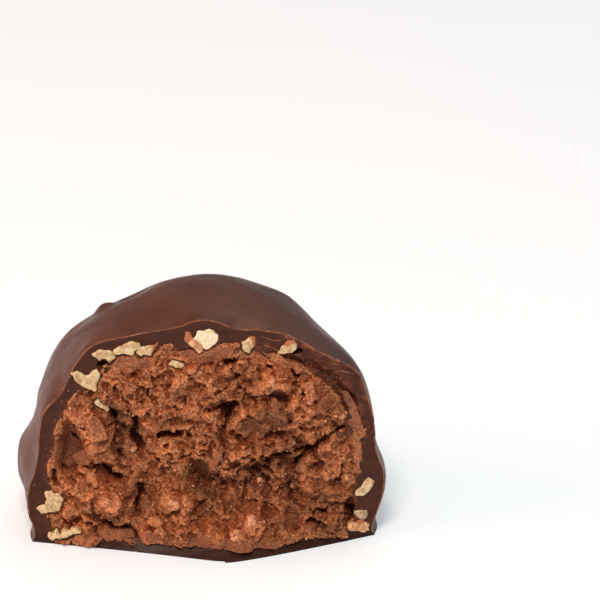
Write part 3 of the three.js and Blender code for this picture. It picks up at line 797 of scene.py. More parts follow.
# ---------------------------------------------------------------------------
# Filling
# A stiff paste of cocoa, hazelnut and sugar. It tore in front of the knife, so its face is clumps
# of grains with cracks and hollows between them, and a few smooth smears. It is worked out as a
# field on a grid of points, above 0 inside the paste, and meshed where the field is 0.
# ---------------------------------------------------------------------------

GRID = 0.15
SLAB_FRONT, SLAB_BACK = -2.1, 3.9  # the worked slab, measured from the cut into the piece
INTO_WALL = 0.25  # the filling reaches this far into the chocolate, so that no gap shows
MOST_TRIANGLES = 190000
ROUGH_REACH = 1.7  # clumps and grains change the field this far from the broad relief
DEPTH_SHARE = 0.45  # clumps are drawn out into the paste, so that few of them overhang
RELIEF_GAIN = 1.35

# Where the paste lies back, stands proud, is cracked or is smeared smooth: routes in the cut's
# plane as (x, z) points, each with a width and a depth or rise.
HOLLOWS = [
    ([(-16, 12.8), (-15.6, 10.6)], 1.9, 1.5),
    ([(-10.2, 15.8), (-9.8, 12.6)], 1.0, 1.1),
    ([(-11.4, 9.6), (-10.6, 8.4)], 0.9, 0.9),
    ([(-13.6, 3.2), (-12.2, 2.6)], 1.2, 0.8),
    ([(-8.2, 15), (-7.8, 12)], 1.3, 1.2),
    ([(-7.4, 7), (-7.8, 4)], 1.2, 0.8),
    ([(-11, 2.6), (-8.6, 1.8)], 0.8, 0.7),
    ([(-0.9, 8.8), (-0.5, 7)], 1.2, 1.3),
    ([(0.3, 6.2), (-0.2, 4.6)], 1.5, 0.9),
    ([(3, 16.4), (2.2, 14.2)], 1.0, 0.9),
    ([(1, 17), (2.4, 16.6)], 0.8, 0.7),
    ([(5.2, 13.4), (9, 12.8)], 1.7, 1.1),
    ([(10.6, 11.4), (13.4, 10.8)], 1.0, 0.8),
    ([(10.8, 9.2), (11.2, 8.8)], 0.9, 0.8),
    ([(2.4, 7.2), (6.8, 6.6)], 1.5, 0.8),
    ([(1.4, 5.2), (3.4, 4.8)], 1.2, 0.8),
    ([(7, 5.2), (7.4, 4.6)], 1.2, 0.9),
    ([(11, 4.4), (13, 2.8)], 1.2, 0.7),
    ([(6.4, 8.8), (9, 9.3)], 1.4, 1.2),
    ([(9.9, 6.5), (10.2, 5.5)], 1.3, 0.8),
    ([(7.4, 18.1), (9.2, 18)], 1.0, 0.9),
    ([(12.6, 20.9), (15.2, 18.2), (16.4, 16.2)], 0.6, 0.35),
    ([(15.6, 3.5), (17, 3)], 1.2, 0.8),
    ([(17.3, 4.1), (17.6, 2.1)], 1.0, 0.9),
]
CLUMPS = [
    ([(-14.6, 17.1), (-13.2, 14.2)], 1.4, 0.9),
    ([(-13, 12.4), (-11.4, 10.8)], 1.1, 0.7),
    ([(-9.3, 15.6), (-9.2, 15.2)], 0.9, 0.7),
    ([(-8.5, 11.9), (-8.3, 11.5)], 0.8, 0.5),
    ([(-4.6, 12.2), (-4, 11.8)], 1.2, 0.5),
    ([(-6, 17), (0, 18)], 2.6, 0.4),
    ([(-14.2, 9.6), (-12.8, 8.3)], 0.5, 0.8),
    ([(-17.2, 8.2), (-15.4, 7.2)], 0.6, 0.6),
    ([(-15.5, 5.6), (-12, 5)], 2.2, 0.5),
    ([(-4.2, 5.3), (-2.4, 5.1)], 1.2, 0.8),
    ([(-7.2, 3), (-3, 3.2)], 1.1, 0.4),
    ([(-14, 7.4), (-11.4, 6.8)], 1.4, 0.6),
    ([(-11.6, 5.4), (-10.6, 5)], 1.1, 0.6),
    ([(-5.6, 21.2), (-0.6, 21.2)], 1.2, 0.5),
    ([(6.6, 19.4), (9, 19.2)], 1.2, 0.7),
    ([(0.7, 16), (1.2, 14.6)], 0.9, 0.7),
    ([(2.7, 14), (4.6, 16.2)], 0.5, 0.8),
    ([(6, 14.6), (13, 15.6)], 2.2, 0.35),
    ([(3.6, 10.4), (6.4, 11.3), (9.4, 11.9), (12, 12.9)], 0.9, 0.5),
    ([(12.2, 19.4), (12.5, 19)], 1.1, 0.8),
    ([(10.8, 17.3), (11.5, 16.4)], 1.1, 0.6),
    ([(12.8, 16), (13.2, 15.8)], 1.3, 0.3),
    ([(15.7, 15.6), (15.9, 15.4)], 1.0, 0.9),
    ([(15.2, 12.2), (17, 9.6)], 1.9, 0.8),
    ([(14.5, 8.6), (14.8, 8.5)], 0.9, 0.9),
    ([(16.9, 8.3), (17.1, 8.1)], 0.8, 0.7),
    ([(8.6, 9), (9, 8.7)], 0.9, 0.7),
    ([(11.6, 8.8), (12, 7)], 0.6, 0.6),
    ([(5.2, 3), (5.8, 2.8)], 1.0, 0.7),
    ([(3.4, 1.4), (4.2, 1.2)], 1.0, 0.6),
    ([(1, 2.4), (1.4, 2.2)], 0.9, 0.6),
]
CRACKS = [
    ([(11.6, 21.8), (13.8, 20.1)], 0.4, 1.3),
    ([(13.8, 20.1), (15.6, 18.5), (16.7, 16.6), (17, 15.2)], 0.3, 1.2),
    ([(16.8, 15.3), (16.6, 14.4), (15.1, 13.6), (14.4, 12.7)], 0.25, 2.4),
    ([(14.4, 12.7), (13.2, 11.4), (12.2, 10.9)], 0.6, 3.2),
    ([(12.2, 10.9), (11, 9.7), (10.9, 9)], 0.35, 2.4),
    ([(12.3, 11.1), (10.4, 10.6), (8.7, 10.4), (6.8, 10.2), (5.3, 9.8), (3.4, 9.2)], 0.3, 2.0),
    ([(-8.5, 16.2), (-8.2, 15.6), (-8.1, 13.8), (-7.5, 11.6)], 0.62, 3.2),
    ([(-5.6, 13.5), (-4.4, 13.8), (-2.7, 13.6)], 0.42, 2.8),
    ([(-1.7, 13.6), (-1.5, 13.6)], 0.3, 1.8),
    ([(0.5, 16.6), (2, 16.6)], 0.26, 2.2),
    ([(3.6, 17), (2.9, 16), (2.4, 14.9), (2.2, 14)], 0.42, 2.6),
    ([(-11, 16.6), (-10.3, 15.3)], 0.35, 2.2),
    ([(-9.9, 11.5), (-9.6, 11)], 0.4, 2.4),
    ([(-12.5, 9.7), (-11.7, 9.4), (-10.3, 8.2)], 0.35, 2.4),
    ([(-7.5, 7.2), (-7.9, 4.2)], 0.42, 2.0),
    ([(-12, 3.1), (-10.6, 2.1), (-8.2, 2.1), (-7.8, 1)], 0.26, 2.2),
    ([(-14.3, 15.3), (-13.6, 15.2)], 0.26, 1.6),
    ([(-15, 13.2), (-14.8, 13)], 0.38, 1.5),
    ([(-16.4, 9.2), (-16.1, 9.1)], 0.35, 1.5),
    ([(-17.8, 9.4), (-17.6, 7.4)], 0.3, 1.5),
    ([(7.4, 22), (9.9, 21.2), (11, 20.5)], 0.3, 2.2),
    ([(10.9, 20.6), (11.1, 20.3)], 0.5, 2.6),
    ([(11.7, 19.6), (11.7, 18.6)], 0.18, 1.8),
    ([(2.7, 22.6), (3.4, 22.9)], 0.5, 2.6),
    ([(-12.1, 22.8), (-11.9, 22.4)], 0.5, 2.2),
    ([(17.3, 3.9), (17.6, 1.9)], 1.1, 3.4),
    ([(9.9, 6.6), (10.1, 5.4)], 0.5, 1.6),
    ([(12, 2.7), (13.9, 1.8)], 0.3, 1.9),
    ([(5.5, 15.7), (7, 15.5)], 0.15, 1.2),
    ([(-6.3, 19.5), (-6.1, 18.9)], 0.38, 1.4),
    ([(-7.1, 17.9), (-6.9, 17.8)], 0.3, 1.2),
    ([(-2, 18.6), (-2, 17.3)], 0.24, 1.3),
    ([(10, 15), (10.2, 14.8)], 0.3, 1.3),
    ([(-2.9, 10.9), (-1, 11), (0.2, 10.7)], 0.15, 1.2),
    ([(7.4, 9.5), (7.6, 9.3)], 0.3, 1.5),
    ([(4.9, 8.2), (4.4, 5.2)], 0.26, 1.2),
    ([(2.2, 12.6), (2.3, 10.6)], 0.13, 1.0),
    ([(18.3, 9.4), (18.4, 8.4)], 0.2, 1.2),
]
SMEARS = [  # middle, half sizes, how smooth
    ((-15.9, 11.6), (1.7, 2.3), 0.85),
    ((-13.7, 7.8), (0.9, 0.7), 0.7),
    ((-12.2, 11.7), (1.5, 1.3), 0.5),
    ((-8.2, 22.7), (2.6, 0.8), 0.7),
    ((0.4, 23.6), (2.8, 1.1), 0.95),
    ((6.2, 23.6), (1.9, 0.9), 0.9),
    ((8.2, 18.1), (1.5, 0.8), 0.8),
    ((8.4, 15.3), (2.2, 1.2), 0.55),
    ((5.1, 13.6), (1.1, 0.8), 0.85),
    ((0, 9.2), (1.4, 1.1), 0.6),
    ((9.9, 6.2), (0.9, 1.1), 0.6),
    ((17.6, 15.8), (0.8, 2.4), 0.85),
    ((18.6, 10.4), (0.6, 2.2), 0.8),
    ((2.4, 1), (5.2, 0.7), 0.8),
    ((-9, 1.3), (3.8, 0.6), 0.65),
]
TONES = [  # middle, half sizes, and how much paler or darker the paste is made there
    ((0, 22.6), (4.5, 1.0), 0.4),
    ((8, 21.4), (1.8, 1.2), 0.45),
    ((-3, 19), (1.0, 1.0), -0.45),
    ((3.4, 19), (1.0, 1.0), 0.4),
    ((-11, 17), (1.0, 1.0), -0.4),
    ((-15, 17), (1.0, 1.0), -0.3),
    ((1, 17.2), (1.1, 0.9), -0.4),
    ((8.4, 15.6), (2.4, 1.6), -0.6),
    ((14, 16.6), (2.0, 1.2), -0.25),
    ((15.8, 13.6), (1.6, 1.4), -0.6),
    ((-15, 14.8), (1.1, 0.9), 0.3),
    ((-7, 14), (1.0, 1.6), 0.6),
    ((-5, 15), (0.9, 0.9), -0.4),
    ((-10, 11), (1.8, 1.0), -0.4),
    ((-5.6, 11), (1.6, 1.0), 0.3),
    ((-1, 11), (1.0, 1.0), 0.6),
    ((3, 13), (1.1, 0.9), 0.5),
    ((9.2, 9), (1.1, 1.0), -0.45),
    ((14.8, 9), (1.1, 1.0), -0.3),
    ((-13, 7), (1.1, 0.9), 0.3),
    ((13, 5), (1.1, 1.0), -0.45),
    ((-15, 3), (1.1, 1.0), 0.8),
    ((9, 3), (2.6, 1.0), -0.4),
    ((14, 1.4), (1.8, 1.0), -0.5),
    # Painted shade: this patch darkens the deep hole beside the low right nut.
    ((17.4, 2.9), (0.9, 1.6), -1.4),
    ((1.5, 0.9), (7.5, 0.8), -0.4),
    ((14.6, 20), (1.6, 1.2), -0.45),
    ((16.4, 17.8), (0.9, 1.8), -0.45),
]
SPILLS = [  # route, width, and how far the paste is dragged out over the wall
    ([(-11.7, 21.4), (-10.4, 22.2), (-8.2, 23)], 1.1, 0.9),
    ([(13.8, 19.9), (15.6, 17.6), (16.6, 15), (17.2, 12.8)], 1.0, 0.55),
    ([(16.3, 17.8), (17.2, 16.2), (17.9, 14.2), (18, 13.2)], 0.85, 1.7),
    ([(18, 12.2), (18.4, 10.4), (18.4, 8.4)], 0.8, 0.75),
]
SHARDS = [  # middle, half size, and how far the flat face leans to the right and up
    ((-14.6, 16.2), 1.0, (-0.4, 0.5)),
    ((-12.8, 15.2), 1.1, (0.5, 0.2)),
    ((-12.2, 12.6), 1.2, (0.3, 0.6)),
    ((-13.8, 10.9), 0.9, (-0.2, 0.5)),
    ((-9.4, 15.4), 0.7, (-0.3, 0.3)),
    ((-13, 8.8), 0.45, (0.4, 0.6)),
    ((-10.6, 5.8), 1.0, (-0.3, 0.7)),
    ((-6.1, 11.7), 0.7, (0.3, 0.4)),
    ((8.8, 21.8), 1.1, (0.1, 0.3)),
    ((12.2, 19.3), 0.8, (-0.5, 0.3)),
    ((13.8, 17.2), 0.9, (0.5, 0.2)),
    ((4.9, 13.7), 1.0, (0.1, 0.2)),
    ((6.5, 16), 0.9, (-0.3, 0.4)),
    ((1.4, 10.9), 0.7, (0.4, 0.3)),
    ((14.6, 10.3), 1.0, (-0.3, 0.4)),
    ((11.4, 8.7), 0.8, (0.4, 0.4)),
    ((13.2, 6.9), 0.8, (-0.4, 0.2)),
    ((-0.9, 5.7), 0.8, (0.3, 0.5)),
    ((-5.8, 3.4), 0.7, (-0.2, 0.5)),
]


def lump_noise(points, size, seed):
    """Lumps about size across, each with one point strewn in it. Gives the distance from that point
    in lumps, and for each lump a flat face of its own tilt and height, from about -0.5 to 0.5."""
    p = points / size + 17.3 * seed
    cell = np.floor(p).astype(np.int64)
    nearest = np.full(points.shape[:-1], 9.0)
    face = np.zeros(points.shape[:-1])
    for neighbour in range(27):
        shift = np.array([neighbour % 3 - 1, neighbour // 3 % 3 - 1, neighbour // 9 - 1])
        c = cell + shift
        h = scrambled(c[..., 0], c[..., 1], c[..., 2], seed)
        strewn = np.stack([h & 1023, h >> 10 & 1023, h >> 20 & 1023], -1) / 1023
        offset = p - c - strewn
        away = (offset ** 2).sum(-1)
        closer = away < nearest
        nearest = np.where(closer, away, nearest)
        tilted = (offset * (strewn[..., [1, 2, 0]] - 0.5)).sum(-1) + strewn[..., 0] - 0.5
        face = np.where(closer, tilted, face)
    return np.sqrt(nearest), face


def fill_checkers(field):
    """Fills squares of grid points that are inside at two opposite corners only, so that no more
    than two faces of the net meet at an edge."""
    for _ in range(12):  # filling one can make another, but they soon run out
        inside = field > 0
        found = False
        for a, b in ((0, 1), (0, 2), (1, 2)):
            step_a, step_b = np.eye(3, dtype=int)[a], np.eye(3, dtype=int)[b]
            corners = [tuple(slice(s, n - e + s) for s, n, e in zip(shift, field.shape, step_a + step_b))
                       for shift in (0 * step_a, step_a, step_b, step_a + step_b)]
            first, second, third, fourth = [inside[c] for c in corners]
            checker = (first == fourth) & (second == third) & (first != second)
            if checker.any():
                found = True
                for c in corners:
                    field[c] = np.where(checker & (field[c] <= 0), 0.03, field[c])
        if not found:
            return


def chip_field(offsets, normals, reach):
    """A crumb with flat faces: how far each offset lies inside planes at reach from its middle."""
    return (reach[:, None] - normals @ offsets.reshape(-1, 3).T).min(0).reshape(offsets.shape[:-1])


def stamp(field, lowest, middle, radius, normals, reach, carve=False):
    """Adds a crumb to a field, or takes it away."""
    low = np.maximum(np.floor((middle - radius - lowest) / GRID).astype(int), 0)
    high = np.minimum(np.ceil((middle + radius - lowest) / GRID).astype(int) + 1, field.shape)
    if (high <= low).any():
        return
    spans = [lowest[a] + GRID * np.arange(low[a], high[a]) - middle[a] for a in range(3)]
    offsets = np.stack(np.meshgrid(*spans, indexing="ij"), -1)
    crumb = chip_field(offsets, normals, reach)
    window = tuple(slice(low[a], high[a]) for a in range(3))
    field[window] = np.minimum(field[window], -crumb) if carve else np.maximum(field[window], crumb)


x_line = np.arange(-20.7, 20.7, GRID)
v_line = np.arange(SLAB_FRONT, SLAB_BACK, GRID)
z_line = np.arange(-0.15, 26.1, GRID)
slab_lowest = np.array([x_line[0], v_line[0], z_line[0]])
flat_x, flat_z = np.meshgrid(x_line, z_line, indexing="ij")
plane = np.stack([flat_x, 0 * flat_x, flat_z], -1)
bent_x = flat_x + 0.35 * fractal(plane, 2.0, 2, 21)
bent_z = flat_z + 0.35 * fractal(plane, 2.0, 2, 25)

relief = 0 * flat_x
for route, width, depth in HOLLOWS:
    relief += depth * np.exp(-(away_from(bent_x, bent_z, route) / width) ** 2)
for route, width, rise in CLUMPS:
    relief -= rise * np.exp(-(away_from(bent_x, bent_z, route) / width) ** 4)
smooth = 0.2 * np.clip((2.2 - flat_z) / 0.8, 0, 1)

# The paste tore off in ledges that slope out as they go down and then drop back, so that each
# keeps a shadow under its ragged lip.
LEDGE_HEIGHT, LEDGE_OUT, LEDGE_SLANT = 2.6, 0.8, 0.3
layer = (flat_z - LEDGE_SLANT * np.abs(flat_x - TONGUE_X)) / LEDGE_HEIGHT
for size, amount, seed in ((3.2, 1.1, 65), (1.0, 0.45, 66), (0.4, 0.16, 67)):
    layer += amount * value_noise(plane, size, seed)
ledge_share = np.clip(0.5 + 0.9 * value_noise(plane, 4.0, 68), 0, 1)
ledges = LEDGE_OUT * ledge_share * (layer - np.floor(layer) - 0.4)
for middle, half, amount in SMEARS:
    out = out_of_oval(bent_x, bent_z, middle, half)
    smooth = np.maximum(smooth, amount * np.clip((1.25 - out) / 0.4, 0, 1))
relief += ledges * (1 - smooth)

# The relief and the roughness die out towards the wall, where the knife pressed the paste flat.
front_y = cut_y(flat_x, flat_z)
spoke = from_centre(np.stack([flat_x, front_y, flat_z], -1))
wall_away = cavity_radius(unit(spoke)) - np.linalg.norm(spoke, axis=-1)
hold = np.clip(wall_away / 1.6, 0.12, 1)
relief *= RELIEF_GAIN * hold

# In places the knife dragged the paste out over the chocolate round it.
spill = np.clip(0.1 + 0.5 * value_noise(plane, 1.7, 63) + 0.25 * value_noise(plane, 0.5, 64), 0, 0.7)
spill *= np.clip(np.abs(flat_z - 12) / 6 - 0.6, 0, 1)
to_edge = np.minimum(wall_away, flat_z - BASE_THICKNESS)
relief -= 0.5 * spill * np.exp(-np.maximum(to_edge, 0) ** 2 / 0.5)
for route, width, reach_out in SPILLS:
    share = np.clip((1.2 - away_from(bent_x, bent_z, route) / width) / 0.4, 0, 1)
    spill = np.maximum(spill, reach_out * share)
    relief -= 0.12 * share
SPILL_FLOOR = ([-18, -13.5, -12, -1.5, 1.8, 6.5, 8, 10, 11.5, 14.3, 18],
               [0.2, 0.25, 0.85, 1, 1, 0.8, 0.55, 0.95, 1.1, 0.75, 0.4])
spill_floor = np.interp(flat_x, *SPILL_FLOOR) + 0.12 * value_noise(plane, 0.8, 69)
relief -= 0.35 * np.exp(-np.maximum(flat_z - 0.6, 0) ** 2 / 1.2)

# It keeps clear of the nuts that show, which sit in it a little below their faces.
NUT_BED = 0.35
for outline, _, _, _ in NUTS.values():
    beside = np.clip((inside_outline(flat_x, flat_z, outline) + 0.5) / 0.35, 0, 1)
    relief += (NUT_BED - relief) * beside
    hold = hold * (1 - 0.75 * beside)

# The roughness, from coarse to fine: two sizes of rounded folds, three of lumps with flat faces,
# and a fine grain. A gentle swell runs on through the smears too.
field = v_line[None, :, None] - relief[:, None, :]
near = np.abs(field) < ROUGH_REACH
ix, iv, iz = np.nonzero(near)
points = np.stack([x_line[ix], v_line[iv], z_line[iz]], -1)
rough = (1 - smooth[ix, iz]) * (0.35 + 0.65 * hold[ix, iz])
bend = np.stack([value_noise(points, 0.9, s) for s in (31, 32, 33)], -1)
bent = (points + 0.22 * bend) * (1, DEPTH_SHARE, 1)
change = 0.80 * (np.abs(value_noise(bent, 3.0, 41)) - 0.33)
change += 0.25 * (np.abs(value_noise(bent, 1.5, 42)) - 0.33)
change += 0.78 * lump_noise(bent, 1.7, 43)[1]
change += 0.27 * lump_noise(bent, 0.8, 44)[1]
change += 0.20 * (0.5 - lump_noise(bent, 0.42, 45)[0])
change += 0.06 * value_noise(points, 0.3, 46)
change *= rough
change += 0.10 * fractal(points, 2.4, 2, 47)
field[ix, iv, iz] += change
field = np.where(near, field, np.sign(field) * ROUGH_REACH)

# Cracks are wedges that narrow with depth and lean down into the paste.
for route, width, depth in CRACKS:
    middle = np.array(route)
    (x0, z0), (x1, z1) = middle.min(0) - 2 * width - 0.9, middle.max(0) + 2 * width + 0.9
    window_x = slice(*np.searchsorted(x_line, (x0, x1)))
    window_z = slice(*np.searchsorted(z_line, (z0, z1)))
    local_x, local_z = bent_x[window_x, window_z], bent_z[window_x, window_z]
    ragged = 1 + 0.5 * value_noise(plane[window_x, window_z], 0.7, 51)
    for layer, v in enumerate(v_line):
        behind = v - relief[window_x, window_z]
        half = width * ragged * (1 - behind / (0.8 * depth))
        away = away_from(local_x, local_z + 0.25 * np.maximum(behind, 0), route)
        field[window_x, layer, window_z] = np.minimum(field[window_x, layer, window_z], away - half)

# Pits where crumbs fell out, and angular crumbs that stand on the face.
PITS, CRUMBS = 60, 1500
CRUMB_PLANES = 12  # planes that bound each
chance = np.random.default_rng(11)
first = np.argmax(field > 0, axis=1)
for k in range(PITS + CRUMBS):
    column_x, column_z = chance.integers(8, len(x_line) - 8), chance.integers(6, len(z_line) - 6)
    normals = unit(chance.normal(size=(CRUMB_PLANES, 3)))
    size = chance.uniform(0.14, 0.3) if k < PITS else 0.14 + 0.22 * chance.random() ** 3
    reach = size * chance.uniform(0.7, 1, CRUMB_PLANES)
    lift = chance.uniform(-0.5, 0.3) * size
    if smooth[column_x, column_z] > chance.random() or wall_away[column_x, column_z] < 0.3:
        continue
    at_v = v_line[first[column_x, column_z]] - lift * (1 if k >= PITS else -1)
    middle = np.array([x_line[column_x], at_v, z_line[column_z]])
    stamp(field, slab_lowest, middle, size * 1.5, normals, reach, carve=k < PITS)

# Larger shards that broke along flat faces stand a little proud of the crumbs.
chance = np.random.default_rng(29)
for (x, z), size, (lean_right, lean_up) in SHARDS:
    normals = unit(chance.normal(size=(CRUMB_PLANES, 3)))
    normals[0] = unit(np.array([lean_right, -1, lean_up]))
    reach = size * chance.uniform(0.65, 1, CRUMB_PLANES)
    reach[0] = 0.4 * size
    column_x, column_z = round((x - x_line[0]) / GRID), round((z - z_line[0]) / GRID)
    at_v = v_line[np.argmax(field[column_x, :, column_z] > 0)] + 0.15 * size
    stamp(field, slab_lowest, np.array([x, at_v, z]), size * 1.5, normals, reach)
    away = np.hypot(flat_x - x, flat_z - z) / size
    smooth = np.maximum(smooth, 0.55 * np.clip((1.1 - away) / 0.3, 0, 1))

field[:, -4:] = ROUGH_REACH  # no crack goes right through the slab
field[:, 0] = -GRID  # and no clump reaches out of its front

# The wall and the floor of the room end the paste on every other side.
whole = np.stack(np.broadcast_arrays(flat_x[:, None, :], v_line[None, :, None] + front_y[:, None, :],
                                     flat_z[:, None, :]), -1)
spoke = from_centre(whole)
in_front = np.clip((0.15 - v_line) / 0.15, 0, 1)[None, :, None]
wall_reach = cavity_radius(unit(spoke)) + INTO_WALL + spill[:, None, :] * in_front
field = np.minimum(field, wall_reach - np.linalg.norm(spoke, axis=-1))
floor_level = BASE_THICKNESS - INTO_WALL
floor_level = floor_level + (spill_floor[:, None, :] - floor_level) * in_front
field = np.minimum(field, whole[..., 2] - floor_level)

fill_checkers(field)
points, quads, cells = surface_net(field, slab_lowest, GRID)

# Only the one big body is kept: bits that would float are dropped.
label = np.arange(len(points))
while True:
    lowest_label = label[quads].min(1)
    new = label.copy()
    np.minimum.at(new, quads.ravel(), np.repeat(lowest_label, 4))
    new = new[new]
    if (new == label).all():
        break
    label = new
body = np.bincount(label).argmax()
quads = quads[label[quads[:, 0]] == body]
used = np.unique(quads)
renumber = np.full(len(points), -1)
renumber[used] = np.arange(len(used))
points, quads, cells = points[used], renumber[quads], cells[used]
# How closed in each point is by the paste, near it and further off; the paste's material paints shade by
# these.
solid = (field > 0).astype(np.float32)
close_in = blurred(solid, 2)[tuple(cells.T)]
wide_in = blurred(solid, 7)[tuple(cells.T)]
column = tuple(cells[:, [0, 2]].T)
points[:, 1] += cut_y(points[:, 0], points[:, 2])

# The open edge at the back of the slab is drawn in to one point at the back of the room.
sides = np.concatenate([quads[:, [a, (a + 1) % 4]] for a in range(4)])
key = np.sort(sides, 1) @ np.array([len(points), 1])
_, place, count = np.unique(key, return_index=True, return_counts=True)
open_sides = sides[place[count == 1]]
follows = {b: a for a, b in open_sides.tolist()}
loop = [next(iter(follows))]
while follows[loop[-1]] != loop[0]:
    loop.append(follows[loop[-1]])

BACK_ROWS = 8
back_points = back_of_room(points[loop], 1 - np.linspace(0, 1, BACK_ROWS)[1:-1], INTO_WALL)
start = len(points)
count = len(loop)
rows = [np.array(loop)] + [start + r * count + np.arange(count) for r in range(BACK_ROWS - 2)]
back_faces = []
for near_row, far_row in zip(rows, rows[1:]):
    back_faces += np.stack([near_row, np.roll(near_row, -1), np.roll(far_row, -1), far_row], 1).tolist()
pole = start + len(back_points) - 1
back_faces += np.stack([rows[-1], np.roll(rows[-1], -1), 0 * rows[-1] + pole], 1).tolist()
faces = quads.tolist() + back_faces


def for_all(values):
    """One number for each point of the slab, with 0 for the hidden back's points."""
    return np.concatenate([values, np.zeros(len(back_points))])


open_share = np.clip((1.45 - close_in - wide_in) / 0.4, 0, 1) * (cells[:, 1] < len(v_line) - 8)
tone_level = 0.5 + 0.2 * value_noise(points, 1.1, 52) + 0.2 * value_noise(points, 0.4, 53)
# Painted shade: the tone is darker where the relief lies back in hollows, and towards the bottom.
tone_level -= 0.26 * relief[column] + 0.2 * np.clip(spill[column] - 0.7, 0, 1)
tone_level -= 0.3 * np.clip((2.4 - points[:, 2]) / 1.2, 0, 1)
for middle, half, amount in TONES:
    out = out_of_oval(bent_x[column], bent_z[column], middle, half)
    tone_level += amount * np.exp(-out ** 4)
attributes = {"close_in": for_all(close_in), "wide_in": for_all(wide_in), "smooth": for_all(smooth[column]),
              "loose": for_all((1 - smooth[column]) * open_share), "tone": for_all(tone_level)}
filling = make_mesh("crumbly_filling", np.concatenate([points, back_points]), faces, attributes)


def plain_mesh(piece, modifier):
    """The mesh that a modifier makes of a piece, which then loses the modifier."""
    made = bpy.data.meshes.new_from_object(piece.evaluated_get(bpy.context.evaluated_depsgraph_get()))
    piece.modifiers.remove(modifier)
    return made


# The paste is finer than STL files may hold, so faces that lie nearly flat are merged.
thinned = filling.modifiers.new("thinned", "DECIMATE")
thinned.ratio = min(1, MOST_TRIANGLES / (2 * len(faces)))
shaped = plain_mesh(filling, thinned)
filling.data = shaped

# Merging can leave two faces back to back on the same corners, apart from the rest: they go.
cleaned = bmesh.new()
cleaned.from_mesh(shaped)
on_corners = {}
for face in cleaned.faces:
    on_corners.setdefault(frozenset(face.verts), []).append(face)
back_to_back = [face for pair in on_corners.values() if len(pair) > 1 for face in pair]
bmesh.ops.delete(cleaned, geom=back_to_back, context="FACES")
cleaned.to_mesh(shaped)
cleaned.free()

# Paste of cocoa, ground hazelnut and sugar: fatty and dull. Painted shade makes it near black in its
# pits and redder on its slopes, and leaves the open tips of its crumbs paler and more orange; more
# painted shade darkens its hollows, its lowest edge, a deep hole and the grooves between its grains.
# Smears are smoother. Its own grains are about 0.05 mm and too fine to show, so they are drawn at
# 0.26 and 0.3 mm.
paste, tree, shader = new_material("cocoa_nut_paste")
place = add(tree, "ShaderNodeTexCoord").outputs["Object"]
close_here, wide_here, smooth_here, tone_here = [
    add(tree, "ShaderNodeAttribute", {"attribute_name": label}).outputs["Fac"]
    for label in ("close_in", "wide_in", "smooth", "tone")]
mottle = add(tree, "ShaderNodeTexNoise", {}, {
    "Vector": place, "Scale": 1 / (1.2 * MM), "Detail": 5}).outputs[0]
grain = add(tree, "ShaderNodeTexNoise", {}, {
    "Vector": place, "Scale": 1 / (0.26 * MM), "Detail": 3, "Roughness": 0.65}).outputs[0]
grit = add(tree, "ShaderNodeTexVoronoi", {}, {
    "Vector": place, "Scale": 1 / (0.3 * MM)}).outputs["Distance"]
# Painted shade: how closed in a point is, with some mottle, turns the colour redder and then near black; open
# tips stay paler.
painted_shade_and_mottle = 0.0
for value, amount in ((close_here, 0.7), (wide_here, 1.3), (mottle, 0.4)):
    painted_shade_and_mottle = add(tree, "ShaderNodeMath", {"operation": "MULTIPLY_ADD"}, {
        0: value, 1: amount, 2: painted_shade_and_mottle}).outputs[0]
painted_slope_shade_share, painted_pit_shade_share, grain_share, painted_groove_shade_share, brightness, smear_share, dullness = [
    add(tree, "ShaderNodeMapRange", {}, {
        "Value": value, "From Min": low, "From Max": high, "To Min": to_low, "To Max": to_high}).outputs[0]
    for value, low, high, to_low, to_high in (
        (painted_shade_and_mottle, 0.85, 1.2, 0, 1), (painted_shade_and_mottle, 1.25, 1.75, 0, 1), (grain, 0.54, 0.66, 0, 0.5),
        (grit, 0.45, 0.75, 0, 0.55), (tone_here, 0, 1, 0.42, 1.28), (smooth_here, 0.3, 1, 0, 0.7),
        (smooth_here, 0.2, 1, 0.55, 0.42))]
# Painted shade: the grooves between the grit's grains are painted dark.
colour = "#c27c52"
for share, over in ((painted_slope_shade_share, "#92481f"), (painted_pit_shade_share, "#7c2c0a"), (grain_share, "#e8ae84"),
                    (painted_groove_shade_share, "#5c2008")):
    colour = add(tree, "ShaderNodeMix", COLOURS, {
        SHARE: share, COLOUR_A: colour, COLOUR_B: over}).outputs[MIXED]
# The tone attribute scales the colour: random and listed tone, and painted shade in hollows, at the lowest
# edge and in a deep hole.
colour = add(tree, "ShaderNodeVectorMath", {"operation": "SCALE"}, {
    0: colour, "Scale": brightness}).outputs[0]
colour = add(tree, "ShaderNodeMix", COLOURS, {
    SHARE: smear_share, COLOUR_A: colour, COLOUR_B: "#84503a"}).outputs[MIXED]
rise = add(tree, "ShaderNodeMath", {"operation": "MULTIPLY_ADD"}, {0: grit, 1: -0.5, 2: grain}).outputs[0]
bump = add(tree, "ShaderNodeBump", {}, {"Height": rise, "Distance": 0.25 * MM}).outputs[0]
feed(tree, shader, {"Base Color": colour, "Roughness": dullness, "Specular IOR Level": 0.24, "Normal": bump})
filling.data.materials.append(paste)
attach(filling, "root")
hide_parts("filling")

# ---------------------------------------------------------------------------
# Hazelnut in the paste
# Coarser bits of roasted hazelnut that were stirred into the paste. They are roundish, half sunk
# and coated with it, and pale only where the tear wiped them.
# ---------------------------------------------------------------------------

